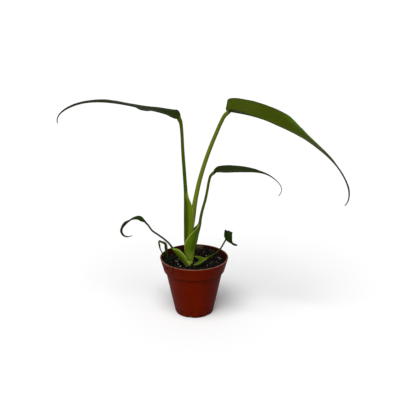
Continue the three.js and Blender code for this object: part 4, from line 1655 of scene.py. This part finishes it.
@dataclass
class Blade:
    """A leaf blade folded along its midrib, with lobes at its base and a drip tip."""

    spine: Points
    half: Stops
    far: Stops
    near: Stops
    lobes: tuple[float, float]
    curl: float
    wave: tuple[float, float, float]
    finish: BladeFinish
    slot: str
    roll: Stops = ((0, 0), (1, 0))
    rows: int = 300
    columns: int = 81
    thickness: float = 0.66
    rib_depth: float = 1.0
    rib_full_at: float = 8.0
    tip_thinning: float = 0.45
    lobe_reach: float = 0.3
    vein_spacing: float = 4.2
    vein_slant: float = 2.1
    vein_relief: float = 0.07
    vein_fade: Band = (0.3, 1.5)
    ruffle: float = 0.16
    ruffle_scale: float = 0.16
    ruffle_seed: int = 3
    row_crowding: float = 1.3
    edge_crowding: float = 0.45
    least_half: float = 0.25
    tip_narrowing: float = 0.4
    wave_full_at: float = 12.0
    least_rib: float = 0.12
    keel_width: float = 0.5
    keel_spread: float = 0.9
    groove_depth: float = 0.22
    groove_width: float = 0.55
    edge_thinning: float = 0.55
    rib_mark_width: float = 0.6
    vein_width: float = 0.45
    trough: float = 0.3
    edge_band: Band = (0.93, 0.99)
    tip_band: Band = (0.87, 1)
    # Where the upper face gets its painted light.
    painted_light_side: Band = (0.45, 0.9)
    painted_light_from: Band = (0.36, 0.5)
    painted_light_until: Band = (0.72, 0.9)
    narrow_band: Band = (0.86, 1)
    thin_edge: Band = (0.8, 1)
    thin_tip: Band = (0.6, 1)
    rib_fade: float = 0.5

    @property
    def widest(self) -> float:
        """The largest half-width."""
        return max(value for _, value in self.half)

    def surface(self, line: Spine, heading: int) -> tuple[np.ndarray, ...]:
        """The middle surface, with the length along it and the distance out from the midrib.

        A point lies out from the midrib by its share of the half-width, on a half turned up
        by its fold. Curl and wave lift it with the square of that share. Near the base it
        is drawn back towards the stalk, by the lobe on its side (far, near), with the square
        of its distance.

        Args:
            line: the midrib.
            heading: 1 for a leaf that goes right and -1 for one that goes left.

        Returns:
            The points, then for each its length along, its distance out and its share across.
        """
        places = np.linspace(0, 1, self.rows) ** self.row_crowding
        frame = line.frames(places, heading, smooth_profile(self.roll, places))
        u = places[:, None]
        even = np.linspace(-1, 1, self.columns)[None]
        v = self.edge_crowding * np.sin(even * np.pi / 2) + (1 - self.edge_crowding) * even
        reach = np.abs(v)
        half = np.maximum(smooth_profile(self.half, u), self.least_half)
        half = half * (1 - self.tip_narrowing * ease(u, *self.narrow_band))
        fold = np.where(v > 0, smooth_profile(self.far, u), smooth_profile(self.near, u))
        fold = np.radians(fold)
        outward = reach * half
        depth, turns, phase = self.wave
        wave = depth * np.sin(2 * np.pi * (turns * u + phase))
        lift = (wave / self.wave_full_at - self.curl) * half * reach**2
        side = np.sign(v) * (outward * np.cos(fold) - lift * np.sin(fold))
        high = outward * np.sin(fold) + lift * np.cos(fold)
        lobe = np.where(v > 0, self.lobes[0], self.lobes[1])
        back = lobe * np.clip(1 - u / self.lobe_reach, 0, 1) * (outward / self.widest) ** 2
        points = frame.aside(side, high) - back[..., None] * frame.along[:, None]
        noise = lattice_noise(points, self.ruffle_scale, self.ruffle_seed, octaves=2)
        ruffled = self.ruffle * reach**4 * noise
        points += ruffled[..., None] * frame.up[:, None]
        along = np.broadcast_to(u * line.length, points.shape[:2])
        return points, along, np.sign(v) * outward, np.broadcast_to(v, points.shape[:2])

    def relief(self, along: np.ndarray, out: np.ndarray) -> np.ndarray:
        """Height of the side veins: ridges where the slanted length is a whole spacing.

        Args:
            along: length along the midrib.
            out: distance out from it.

        Returns:
            A share of the veins' relief for each point.
        """
        phase = (along - self.vein_slant * np.abs(out)) / self.vein_spacing
        distance = np.abs(phase - np.round(phase)) * self.vein_spacing
        fade = ease(np.abs(out), *self.vein_fade)
        ridge = np.exp(-((distance / self.vein_width) ** 2))
        return fade * (ridge - self.trough * np.cos(2 * np.pi * phase))

    def build(self, name: str, heading: int, line: Spine) -> None:
        """Thickens the middle surface both ways, with the midrib and veins below.

        Args:
            name: the CAD node that the piece replaces.
            heading: 1 for a leaf that goes right and -1 for one that goes left.
            line: the midrib, from the end of the stalk.
        """
        points, along, out, v = self.surface(line, heading)
        down, across = (np.gradient(points, axis=axis) for axis in (0, 1))
        normal = heading * unit(np.cross(down, across))
        share = np.linspace(0, 1, self.rows)[:, None]
        size = min(1, self.widest / self.rib_full_at)
        thin = 1 - self.edge_thinning * ease(np.abs(v), *self.thin_edge)
        thin_end = 1 - self.tip_thinning * ease(share, *self.thin_tip)
        half_thick = self.thickness / 2 * thin * thin_end
        veins = self.vein_relief * size * self.relief(along, out)
        rib = self.rib_depth * size * (1 - share) ** 2 + self.least_rib
        keel = rib * np.exp(-((out / (self.keel_width + self.keel_spread * (1 - share))) ** 2))
        groove = self.groove_depth * (1 - share) * np.exp(-((out / self.groove_width) ** 2))
        upper = points + (half_thick - groove - veins)[..., None] * normal
        lower = points - (half_thick + keel + veins)[..., None] * normal
        count = self.rows * self.columns
        top = np.arange(count).reshape(self.rows, self.columns)
        low = top + count
        quads = np.vstack([
            grid_quads(self.rows, self.columns), grid_quads(self.rows, self.columns, count)[:, ::-1],
            strip_quads(low[:, 0], top[:, 0]), strip_quads(top[:, -1], low[:, -1]),
            strip_quads(low[0], top[0])[:, ::-1], strip_quads(top[-1], low[-1])[:, ::-1],
        ])
        uv = np.stack([along, out], -1).reshape(-1, 2) / self.vein_spacing
        edge = ease(np.abs(v), *self.edge_band)
        ribbed = np.exp(-((out / self.rib_mark_width) ** 2)) * (1 - self.rib_fade * share)
        tip = np.broadcast_to(ease(share, *self.tip_band), v.shape)
        # Painted light: brighter green on the far side, part way along the blade.
        painted_light = ease(share, *self.painted_light_from) * (1 - ease(share, *self.painted_light_until))
        painted_light = ease(v, *self.painted_light_side) * painted_light
        both = {"edge": edge, "rib": ribbed, "tip": tip, "painted_light": painted_light}
        values = {label: np.tile(numbers.ravel(), 2) for label, numbers in both.items()}
        values["upper"] = np.repeat([1, 0], count)
        points = np.vstack([upper.reshape(-1, 3), lower.reshape(-1, 3)])
        shape = Shape(points, quads, uv=np.vstack([uv, uv]), values=values).outward()
        add_piece(f"{name}_skin", shape, self.finish.material(), (name,))


@dataclass
class Leaf:
    """A stalk and its blade. The blade starts a clearance past the end of the stalk."""

    name: str
    heading: int
    stalk: Stalk
    blade: Blade
    joint: float = 0.5

    def build(self) -> None:
        """Makes the stalk, then the blade from the stalk's last point and direction."""
        self.stalk.build(f"stalk_{self.name}", self.heading)
        ends, onward = Spine(self.stalk.spine).at(np.array([1.0]))
        start = ends[0] + self.joint * onward[0]
        knots = (tuple(start), tuple(start + onward[0]), *self.blade.spine)
        self.blade.build(f"blade_{self.name}", self.heading, Spine(knots))


PALE_STALK = StalkFinish("stalk_pale", "#8e9c44", "#6a7a1c", "#5c6a18")
MID_STALK = StalkFinish(
    "stalk_mid", "#76882e", "#2a4002", "#46520a", wing="#7c9218", top_from=0.62, top_full=0.92,
)
DARK_STALK = StalkFinish(
    "stalk_dark", "#a2b43e", "#4c6c07", "#42520e", wing="#5c740a", top_from=0.28, top_full=0.45,
)
LOW_STALK = StalkFinish(
    "stalk_low", "#7e8c40", "#4e640c", "#161f06", wing="#6a8018", top_from=0.26, top_full=0.5,
)
SHADED_STALK = StalkFinish(
    "stalk_shaded", "#56642a", "#3e5206", "#1a2406", "#60702e", "#465c10", "#48600c", 0.2, 0.55,
)
SHOOT_SKIN = StalkFinish("shoot_skin", "#14342a", "#2c3a0e", "#3a4a12", hollow="#4a5a1c")
NEW_BLADE = BladeFinish("blade_new", "#3c4807", "#2c3a03", "#343f0a", "#4c5e11", "#182204")
DARK_BLADE = BladeFinish(
    "blade_dark", "#222c08", "#161f03", "#262e12", "#2c3a0c", "#0f1504", painted_light="#222c08",
    specular=0.03,
)
LOW_BLADE = BladeFinish(
    "blade_low", "#1c2e08", "#122004", "#28380e", "#2c4210", "#0c1404", "#1c2e08", "#161c10",
)


def tall_left() -> Leaf:
    """The tall leaf that arches to the left, with the long sheath round the newest stalk.

    Returns:
        The leaf.
    """
    stalk = Stalk(
        spine=(
            (-5.4, -8.3, 46.7), (-6, -8.3, 50.8), (-6.2, -8.2, 56), (-6.35, -8, 63),
            (-6.25, -7.5, 75), (-6.2, -6.8, 86), (-6.1, -5.6, 96), (-6.3, -4, 104), (-7.2, -1, 119),
            (-8.2, 1.5, 133), (-9, 3.2, 148), (-9.8, 4, 155.3), (-11, 4.2, 158.5),
        ),
        radius=(
            (0, 0.5), (0.04, 0.75), (0.09, 1.1), (0.14, 1.45), (0.25, 1.65), (0.44, 1.7),
            (0.51, 1.65), (0.71, 1.6), (0.94, 1.5), (1, 1.8),
        ),
        clasp=(
            (0, 1.05), (0.04, 1.55), (0.09, 1.95), (0.14, 2.5), (0.25, 3.1), (0.44, 3.1),
            (0.52, 3.2), (1, 2.9),
        ),
        wrap_near=(
            (0, 88), (0.14, 106), (0.25, 130), (0.35, 120), (0.42, 92), (0.47, 50), (0.52, 26),
            (1, 23),
        ),
        wrap_far=(
            (0, 88), (0.14, 104), (0.25, 118), (0.35, 104), (0.42, 76), (0.47, 40), (0.52, 26),
            (1, 23),
        ),
        sheath=((0, 1), (0.42, 1), (0.52, 0), (1, 0)),
        finish=MID_STALK,
        slot="mid_stalk",
        rows=320,
        arc=49,
    )
    blade = Blade(
        spine=(
            (-17.3, 5, 161), (-23, 6, 162.6), (-30.8, 7, 164.3), (-39, 8, 165.6), (-48.6, 9, 167.6),
            (-58, 10, 169), (-67, 11, 169.8), (-73.5, 11.5, 169.9), (-80, 12, 169.5),
            (-86, 12.5, 168.5), (-92.5, 13, 166.5), (-98.5, 13.5, 163.7), (-103.3, 14, 160.2),
            (-105.8, 14, 156.4), (-106, 14, 152.9),
        ),
        half=(
            (0, 1.2), (0.012, 3.8), (0.03, 6.4), (0.06, 8.6), (0.1, 10), (0.17, 11), (0.35, 10.8),
            (0.55, 9.2), (0.72, 6.6), (0.85, 3.6), (0.93, 1.9), (1, 0.8),
        ),
        far=(
            (0, 26), (0.03, 30), (0.08, 25), (0.13, 14), (0.22, 7), (0.37, 3), (0.5, 4), (0.65, 8),
            (0.84, 18), (1, 32),
        ),
        near=(
            (0, -14), (0.03, -5), (0.07, 7), (0.1, 11), (0.2, 10), (0.24, 6), (0.285, 7),
            (0.318, 13), (0.37, 15), (0.5, 15), (0.7, 16), (0.84, 18), (1, 26),
        ),
        lobes=(3.5, 4),
        curl=0.08,
        wave=(0.3, 3, 0.6),
        finish=DARK_BLADE,
        slot="dark_blade",
    )
    return Leaf("tall_left", -1, stalk, blade)


def tall_right() -> Leaf:
    """The newest and widest leaf, whose stalk rises out of the tall left leaf's sheath.

    Returns:
        The leaf.
    """
    stalk = Stalk(
        spine=(
            (-4, -8.3, 46.7), (-4, -8.3, 50.8), (-3.7, -8.2, 56), (-2.95, -8, 63), (-2.2, -7.5, 75),
            (-1.2, -7, 82), (0.1, -5.9, 92), (1.8, -4.8, 101.2), (3.9, -3.6, 110.5),
            (6.5, -2, 119.6), (9.5, 0, 128.5), (12.9, 2, 137.5), (16.7, 4, 146.4),
            (20.6, 5.6, 155.2), (23.2, 6.3, 160), (26, 6.8, 162.8),
        ),
        radius=(
            (0, 0.65), (0.033, 1.05), (0.08, 1.35), (0.13, 1.9), (0.23, 2.25), (0.32, 2.3),
            (0.44, 2.0), (0.565, 1.85), (0.76, 1.7), (1, 1.6),
        ),
        clasp=((0, 1.6), (0.033, 2.5), (0.13, 4.2), (0.23, 5), (0.44, 4.5), (1, 3.25)),
        finish=PALE_STALK,
        slot="pale_stalk",
        rows=260,
        arc=33,
    )
    blade = Blade(
        spine=(
            (33.5, 6.5, 163), (46.3, 5, 160.2), (60, 3, 155.6), (73.8, 0, 149.8), (83, -2, 144.7),
            (92, -4, 138.6), (101.2, -6, 131.3), (108.7, -8, 123.4), (114.8, -9.5, 114),
            (117.9, -10.2, 106), (118.4, -10.6, 100.6), (117.6, -11, 96.6), (115.8, -11, 93.4),
        ),
        half=(
            (0, 1.3), (0.01, 5.1), (0.025, 8.3), (0.05, 10.9), (0.09, 12.6), (0.14, 13.1),
            (0.2, 13.2), (0.35, 12.6), (0.5, 10.4), (0.65, 7.4), (0.8, 4.2), (0.9, 2.2), (1, 0.7),
        ),
        far=(
            (0, 42), (0.1, 43), (0.2, 47), (0.33, 47), (0.44, 28), (0.56, 14), (0.7, 11), (0.84, 13),
            (1, 24),
        ),
        near=((0, 22), (0.15, 10), (0.4, 8), (0.6, 6), (0.7, 8), (0.84, 13), (1, 24)),
        lobes=(14, 3),
        curl=0.06,
        wave=(0.4, 2, 0),
        finish=NEW_BLADE,
        slot="new_blade",
    )
    return Leaf("tall_right", 1, stalk, blade)


def middle_right() -> Leaf:
    """The middle leaf, whose wide open sheath stands in front of the others.

    Returns:
        The leaf.
    """
    stalk = Stalk(
        spine=(
            (-1.4, -8.35, 46.7), (-0.95, -8.35, 50.8), (-0.5, -8.2, 56), (1.1, -8, 63),
            (2.6, -8, 70), (4.3, -8.8, 77), (5.1, -10, 83.6), (6.4, -11.3, 90.3), (8.5, -12.5, 98.6),
            (10.1, -13.4, 106.8), (11.3, -14, 114), (12.6, -14.4, 118.4), (15.1, -14.8, 121.1),
        ),
        radius=(
            (0, 0.55), (0.05, 0.8), (0.12, 1.15), (0.21, 1.5), (0.31, 1.45), (0.4, 1.3),
            (0.52, 1.25), (0.72, 1.2), (0.95, 1.15), (1, 1.25),
        ),
        clasp=(
            (0, 2), (0.05, 2.75), (0.12, 3.3), (0.21, 4.15), (0.31, 4.1), (0.4, 3.6), (0.52, 2.8),
            (1, 2.25),
        ),
        wrap_near=(
            (0, 130), (0.06, 140), (0.12, 146), (0.21, 130), (0.31, 92), (0.37, 56), (0.42, 30),
            (0.47, 24), (1, 23),
        ),
        wrap_far=(
            (0, 118), (0.06, 130), (0.12, 138), (0.21, 120), (0.31, 82), (0.37, 50), (0.42, 30),
            (0.47, 24), (1, 23),
        ),
        sheath=((0, 1), (0.36, 1), (0.45, 0), (1, 0)),
        finish=DARK_STALK,
        slot="dark_stalk",
        root=((-2.9, -11.2, 41.2), (-2.3, -9.9, 43.8)),
        sunk=0,
        rows=320,
        arc=57,
    )
    blade = Blade(
        spine=(
            (21, -15.6, 122.6), (28.5, -16.5, 123.3), (38, -17.6, 123.3), (44.7, -18.6, 123),
            (50.6, -19.5, 122.1), (55.6, -20.2, 120.4), (60.1, -21, 117.6), (63.8, -22, 113.9),
            (65.3, -22.6, 110.4), (64.8, -23, 107.6), (63.1, -23, 105.1),
        ),
        half=(
            (0, 0.9), (0.02, 2.8), (0.05, 5.2), (0.12, 7.8), (0.25, 8.4), (0.38, 7), (0.46, 5.4),
            (0.54, 3.3), (0.6, 2.3), (0.68, 1.1), (0.8, 0.5), (1, 0.3),
        ),
        far=((0, 30), (0.1, 17), (0.4, 13), (0.7, 9), (1, 6)),
        near=((0, 18), (0.1, 10), (0.4, 9), (0.7, 9), (1, 6)),
        lobes=(3, 2),
        curl=0.06,
        wave=(0.3, 2, 1),
        finish=DARK_BLADE,
        slot="dark_blade",
        rows=260,
        columns=73,
        vein_spacing=3.2,
    )
    return Leaf("middle_right", 1, stalk, blade)


def low_left() -> Leaf:
    """The low leaf on the left: a short open sheath, a thin stalk and a hooked blade.

    Returns:
        The leaf.
    """
    stalk = Stalk(
        spine=(
            (-6, -13.4, 45.6), (-8.9, -13.1, 49.3), (-12.6, -12.6, 54), (-16, -12, 58),
            (-19.4, -11.5, 62.8), (-23.5, -11, 66.6), (-28.2, -10.6, 70), (-32.4, -10.4, 73.1),
            (-35.4, -10.1, 77.3), (-37.2, -10, 79.4),
        ),
        radius=((0, 1.15), (0.12, 1.2), (0.3, 1.05), (0.42, 0.9), (0.7, 0.84), (1, 0.75)),
        clasp=((0, 2.6), (0.15, 2.8), (0.3, 2.4), (0.42, 1.6), (1, 1.2)),
        wrap_near=((0, 84), (0.12, 104), (0.24, 112), (0.31, 84), (0.36, 36), (0.42, 23), (1, 23)),
        wrap_far=((0, 36), (0.12, 56), (0.24, 80), (0.31, 66), (0.36, 32), (0.42, 23), (1, 23)),
        sheath=((0, 1), (0.3, 1), (0.4, 0), (1, 0)),
        finish=LOW_STALK,
        slot="pale_stalk",
        root=((-5.2, -12.2, 40.3), (-5, -13, 42.8)),
        sunk=0,
        overrun=1.0,
    )
    blade = Blade(
        spine=(
            (-38.9, -10, 81), (-41, -10, 82.2), (-43.6, -10, 83.1), (-46.8, -10, 82.9),
            (-50.3, -10, 80.7), (-53.4, -10, 77.7), (-55.4, -10, 75.1), (-56, -10, 72.4),
            (-55.4, -10, 70.3), (-53.9, -10, 68.7), (-52, -10, 68.1), (-50.2, -10, 68.1),
            (-48.9, -10, 68.5), (-48.2, -10, 69.3),
        ),
        half=(
            (0, 0.7), (0.04, 1.1), (0.08, 1.7), (0.13, 2.6), (0.2, 3.1), (0.3, 2.7), (0.38, 2.2),
            (0.51, 2.9), (0.63, 2.8), (0.75, 1.9), (0.9, 0.9), (1, 0.4),
        ),
        far=((0, 56), (0.1, 44), (0.18, 28), (0.28, 8), (0.39, 10), (0.51, 34), (0.65, 30), (1, 15)),
        near=((0, -20), (0.1, -16), (0.18, 0), (0.28, 4), (0.39, 16), (0.51, 34), (0.65, 30), (1, 15)),
        lobes=(0.4, 1),
        curl=0.05,
        wave=(0.2, 2, 0),
        finish=LOW_BLADE,
        slot="dark_blade",
        rows=200,
        columns=57,
        thickness=0.56,
        vein_spacing=2.2,
    )
    return Leaf("low_left", -1, stalk, blade)


def low_right() -> Leaf:
    """The low leaf on the right: a flat sheath with a pointed flap, and a hanging blade.

    Returns:
        The leaf.
    """
    stalk = Stalk(
        spine=(
            (-0.8, -13.2, 44.2), (3.7, -14.2, 45.4), (8.2, -13.8, 49.7), (13, -13.4, 53.1),
            (17.3, -13.3, 55.7), (20.2, -12.6, 58.4), (22.7, -12, 62.4), (24.8, -10.8, 66),
            (25.8, -10, 69.3), (26.1, -9.8, 70.7), (26.3, -10.1, 71.5), (26.5, -10.9, 71.9),
        ),
        radius=((0, 0.9), (0.12, 1.1), (0.24, 0.95), (0.36, 0.82), (0.7, 0.76), (1, 0.65)),
        clasp=((0, 1.6), (0.12, 1.85), (0.2, 1.8), (0.27, 1.7), (0.36, 1.5), (1, 1.1)),
        wrap_near=((0, 84), (0.12, 84), (0.2, 54), (0.28, 26), (0.36, 23), (1, 23)),
        wrap_far=(
            (0, 40), (0.04, 62), (0.09, 82), (0.15, 78), (0.19, 100), (0.24, 100), (0.29, 50),
            (0.36, 23), (1, 23),
        ),
        sheath=((0, 1), (0.26, 1), (0.36, 0), (1, 0)),
        tongue=((0, 0), (0.195, 0), (0.22, 4.6), (0.238, 4), (0.257, 1.6), (0.28, 0), (1, 0)),
        tongue_rise=70,
        finish=SHADED_STALK,
        slot="pale_stalk",
        root=((-3, -11.4, 40.5), (-2.2, -11.9, 43.2)),
        sunk=0,
        overrun=1.0,
    )
    blade = Blade(
        spine=(
            (26.8, -12.7, 71.6), (26.8, -13.4, 70.3), (27.1, -13.7, 68), (28.6, -13.6, 65.1),
            (30.7, -13.4, 62.9), (33.7, -13.4, 62),
        ),
        half=(
            (0, 0.5), (0.05, 1), (0.1, 1.5), (0.15, 2.05), (0.2, 2.6), (0.27, 3.15), (0.36, 3.3),
            (0.48, 2.7), (0.58, 1.6), (0.68, 0.9), (0.82, 0.85), (1, 0.95),
        ),
        far=((0, 20), (1, 10)),
        near=((0, 20), (1, 10)),
        roll=((0, 50), (0.06, 74), (0.2, 72), (1, 72)),
        lobes=(5.2, 8.8),
        lobe_reach=0.64,
        curl=0.12,
        wave=(0.3, 1.5, 0),
        finish=LOW_BLADE,
        slot="dark_blade",
        rows=220,
        columns=81,
        thickness=0.56,
        vein_spacing=1.8,
    )
    return Leaf("low_right", 1, stalk, blade)


def bent_shoot() -> Stalk:
    """The thin shoot at the left rim: up, over a sharp bend and back down.

    Returns:
        The shoot.
    """
    wrap = ((0, 24), (0.6, 22), (0.72, 12), (1, 10))
    return Stalk(
        spine=(
            (-21.5, 5, 41), (-22, 4.8, 46), (-22.6, 4.3, 52), (-23, 4, 55.6), (-24.2, 4, 57.1),
            (-26.2, 4, 57.8), (-27.9, 4, 58.7), (-28.5, 4, 58.1), (-28.3, 3.9, 56),
            (-27.6, 3.6, 52.3), (-26.3, 3.2, 49.6), (-25, 2.6, 46.8),
        ),
        radius=(
            (0, 1), (0.25, 1.3), (0.4, 1.35), (0.48, 1), (0.58, 0.7), (0.66, 0.7), (0.73, 0.9),
            (0.82, 0.55), (1, 0.4),
        ),
        clasp=((0, 2.6), (1, 2.6)),
        wrap_near=wrap,
        wrap_far=wrap,
        finish=SHOOT_SKIN,
        slot="mid_stalk",
        arc=25,
        sunk=0.5,
        overrun=0.4,
        knee=0,
    )


# Studio


@dataclass
class Studio:
    """A pale floor, even light, a soft sun from above and the camera."""

    camera_place: tuple[float, float, float] = (4.7, -480.0, 247.0)
    pitch_degrees: float = 17.6
    focal_pixels: float = 643.0
    image_pixels: float = 400.0
    sensor: float = 36.0
    floor_reach: float = 150.0
    floor_gap: float = 0.1
    sky: str = "#ffffff"
    sky_strength: float = 0.32
    backdrop_strength: float = 0.95
    sun_strength: float = 2.9
    sun_from: tuple[float, float, float] = (-0.15, -0.5, 1.0)
    sun_spread_degrees: float = 45.0
    floor_finish: FloorFinish = field(default_factory=FloorFinish)

    def camera(self) -> None:
        """Adds the camera at the photograph's angle."""
        data = bpy.data.cameras.new("view")
        data.sensor_width = self.sensor
        data.lens = self.focal_pixels / self.image_pixels * self.sensor
        data.clip_start, data.clip_end = 0.01, 4 * self.floor_reach
        camera = bpy.data.objects.new("view", data)
        camera.location = Vector(self.camera_place) * MM
        camera.rotation_euler = (math.radians(90 - self.pitch_degrees), 0, 0)
        bpy.context.scene.collection.objects.link(camera)
        bpy.context.scene.camera = camera

    def lights(self) -> None:
        """Adds the even sky and the soft sun."""
        world = bpy.data.worlds.new("sky")
        world.use_nodes = True
        w = Wiring(world.node_tree)
        strength = w.between(w.camera_ray(), self.sky_strength, self.backdrop_strength)
        w.fill(world.node_tree.nodes["Background"], {"Color": self.sky, "Strength": strength})
        bpy.context.scene.world = world
        data = bpy.data.lights.new("sun", "SUN")
        data.energy = self.sun_strength
        data.angle = math.radians(self.sun_spread_degrees)
        sun = bpy.data.objects.new("sun", data)
        sun.rotation_mode = "QUATERNION"
        sun.rotation_quaternion = (-Vector(self.sun_from)).to_track_quat("-Z", "Y")
        bpy.context.scene.collection.objects.link(sun)

    def floor(self) -> None:
        """Adds the floor just under the pot."""
        reach, z = self.floor_reach, -self.floor_gap * MM
        mesh = bpy.data.meshes.new("floor")
        corners = [(-reach, -reach, z), (reach, -reach, z), (reach, reach, z), (-reach, reach, z)]
        mesh.from_pydata(corners, [], [(0, 1, 2, 3)])
        mesh.materials.append(self.floor_finish.material())
        floor = bpy.data.objects.new("floor", mesh)
        bpy.context.scene.collection.objects.link(floor)

    def build(self) -> None:
        """Adds everything that isn't part of the object."""
        bpy.context.scene.view_settings.view_transform = "Standard"
        self.camera()
        self.lights()
        self.floor()


def main() -> None:
    """Loads the solids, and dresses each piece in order."""
    logging.basicConfig(level=logging.INFO, format="%(name)s %(message)s")
    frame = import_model()
    LOG.info("solids: %s", ", ".join(sorted(frame["nodes"])))
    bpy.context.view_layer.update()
    Studio().build()
    pot = NurseryPot()
    pot.build()
    soil = SoilBed(pot)
    soil.build()
    peat = CrumbFinish("peat_crumb", "#020201", "#0f0b06")
    bark = CrumbFinish("bark_chip", "#0c0805", "#54422f")
    pale = CrumbFinish("pale_grain", "#545042", "#a29d8e", roughness=0.9)
    hair = CrumbFinish("root_fibre", "#1e1810", "#6a5c44")
    straw = CrumbFinish("straw_fibre", "#3a2e1e", "#7c6a48")
    moss = CrumbFinish("moss", "#040f0a", "#0e3222")
    for cover in (
        LooseBits("peat_crumbs", peat, BitForm.CRUMB, 2400, 0.35, 2.3, seed=21),
        LooseBits("bark_chips", bark, BitForm.CHIP, 190, 0.7, 3, seed=22),
        LooseBits("pale_grains", pale, BitForm.CRUMB, 110, 0.3, 1.5, seed=23, placed=PALE_SPOTS),
        Fibres("fine_roots", hair, (6, 8), 8.5, 44, 5, 0.15, 0.7, seed=24),
        Fibres("rim_fibres", straw, (3.4, 22.2), 1.7, 80, 4.2, 0.2, 0.9, seed=25, rise=1.8),
        MossTuft(moss),
    ):
        cover.build(soil)
    Crown().build()
    for leaf in (tall_left(), tall_right(), middle_right(), low_left(), low_right()):
        leaf.build()
    bent_shoot().build("bent_shoot", -1)


if __name__ == "__main__":
    main()
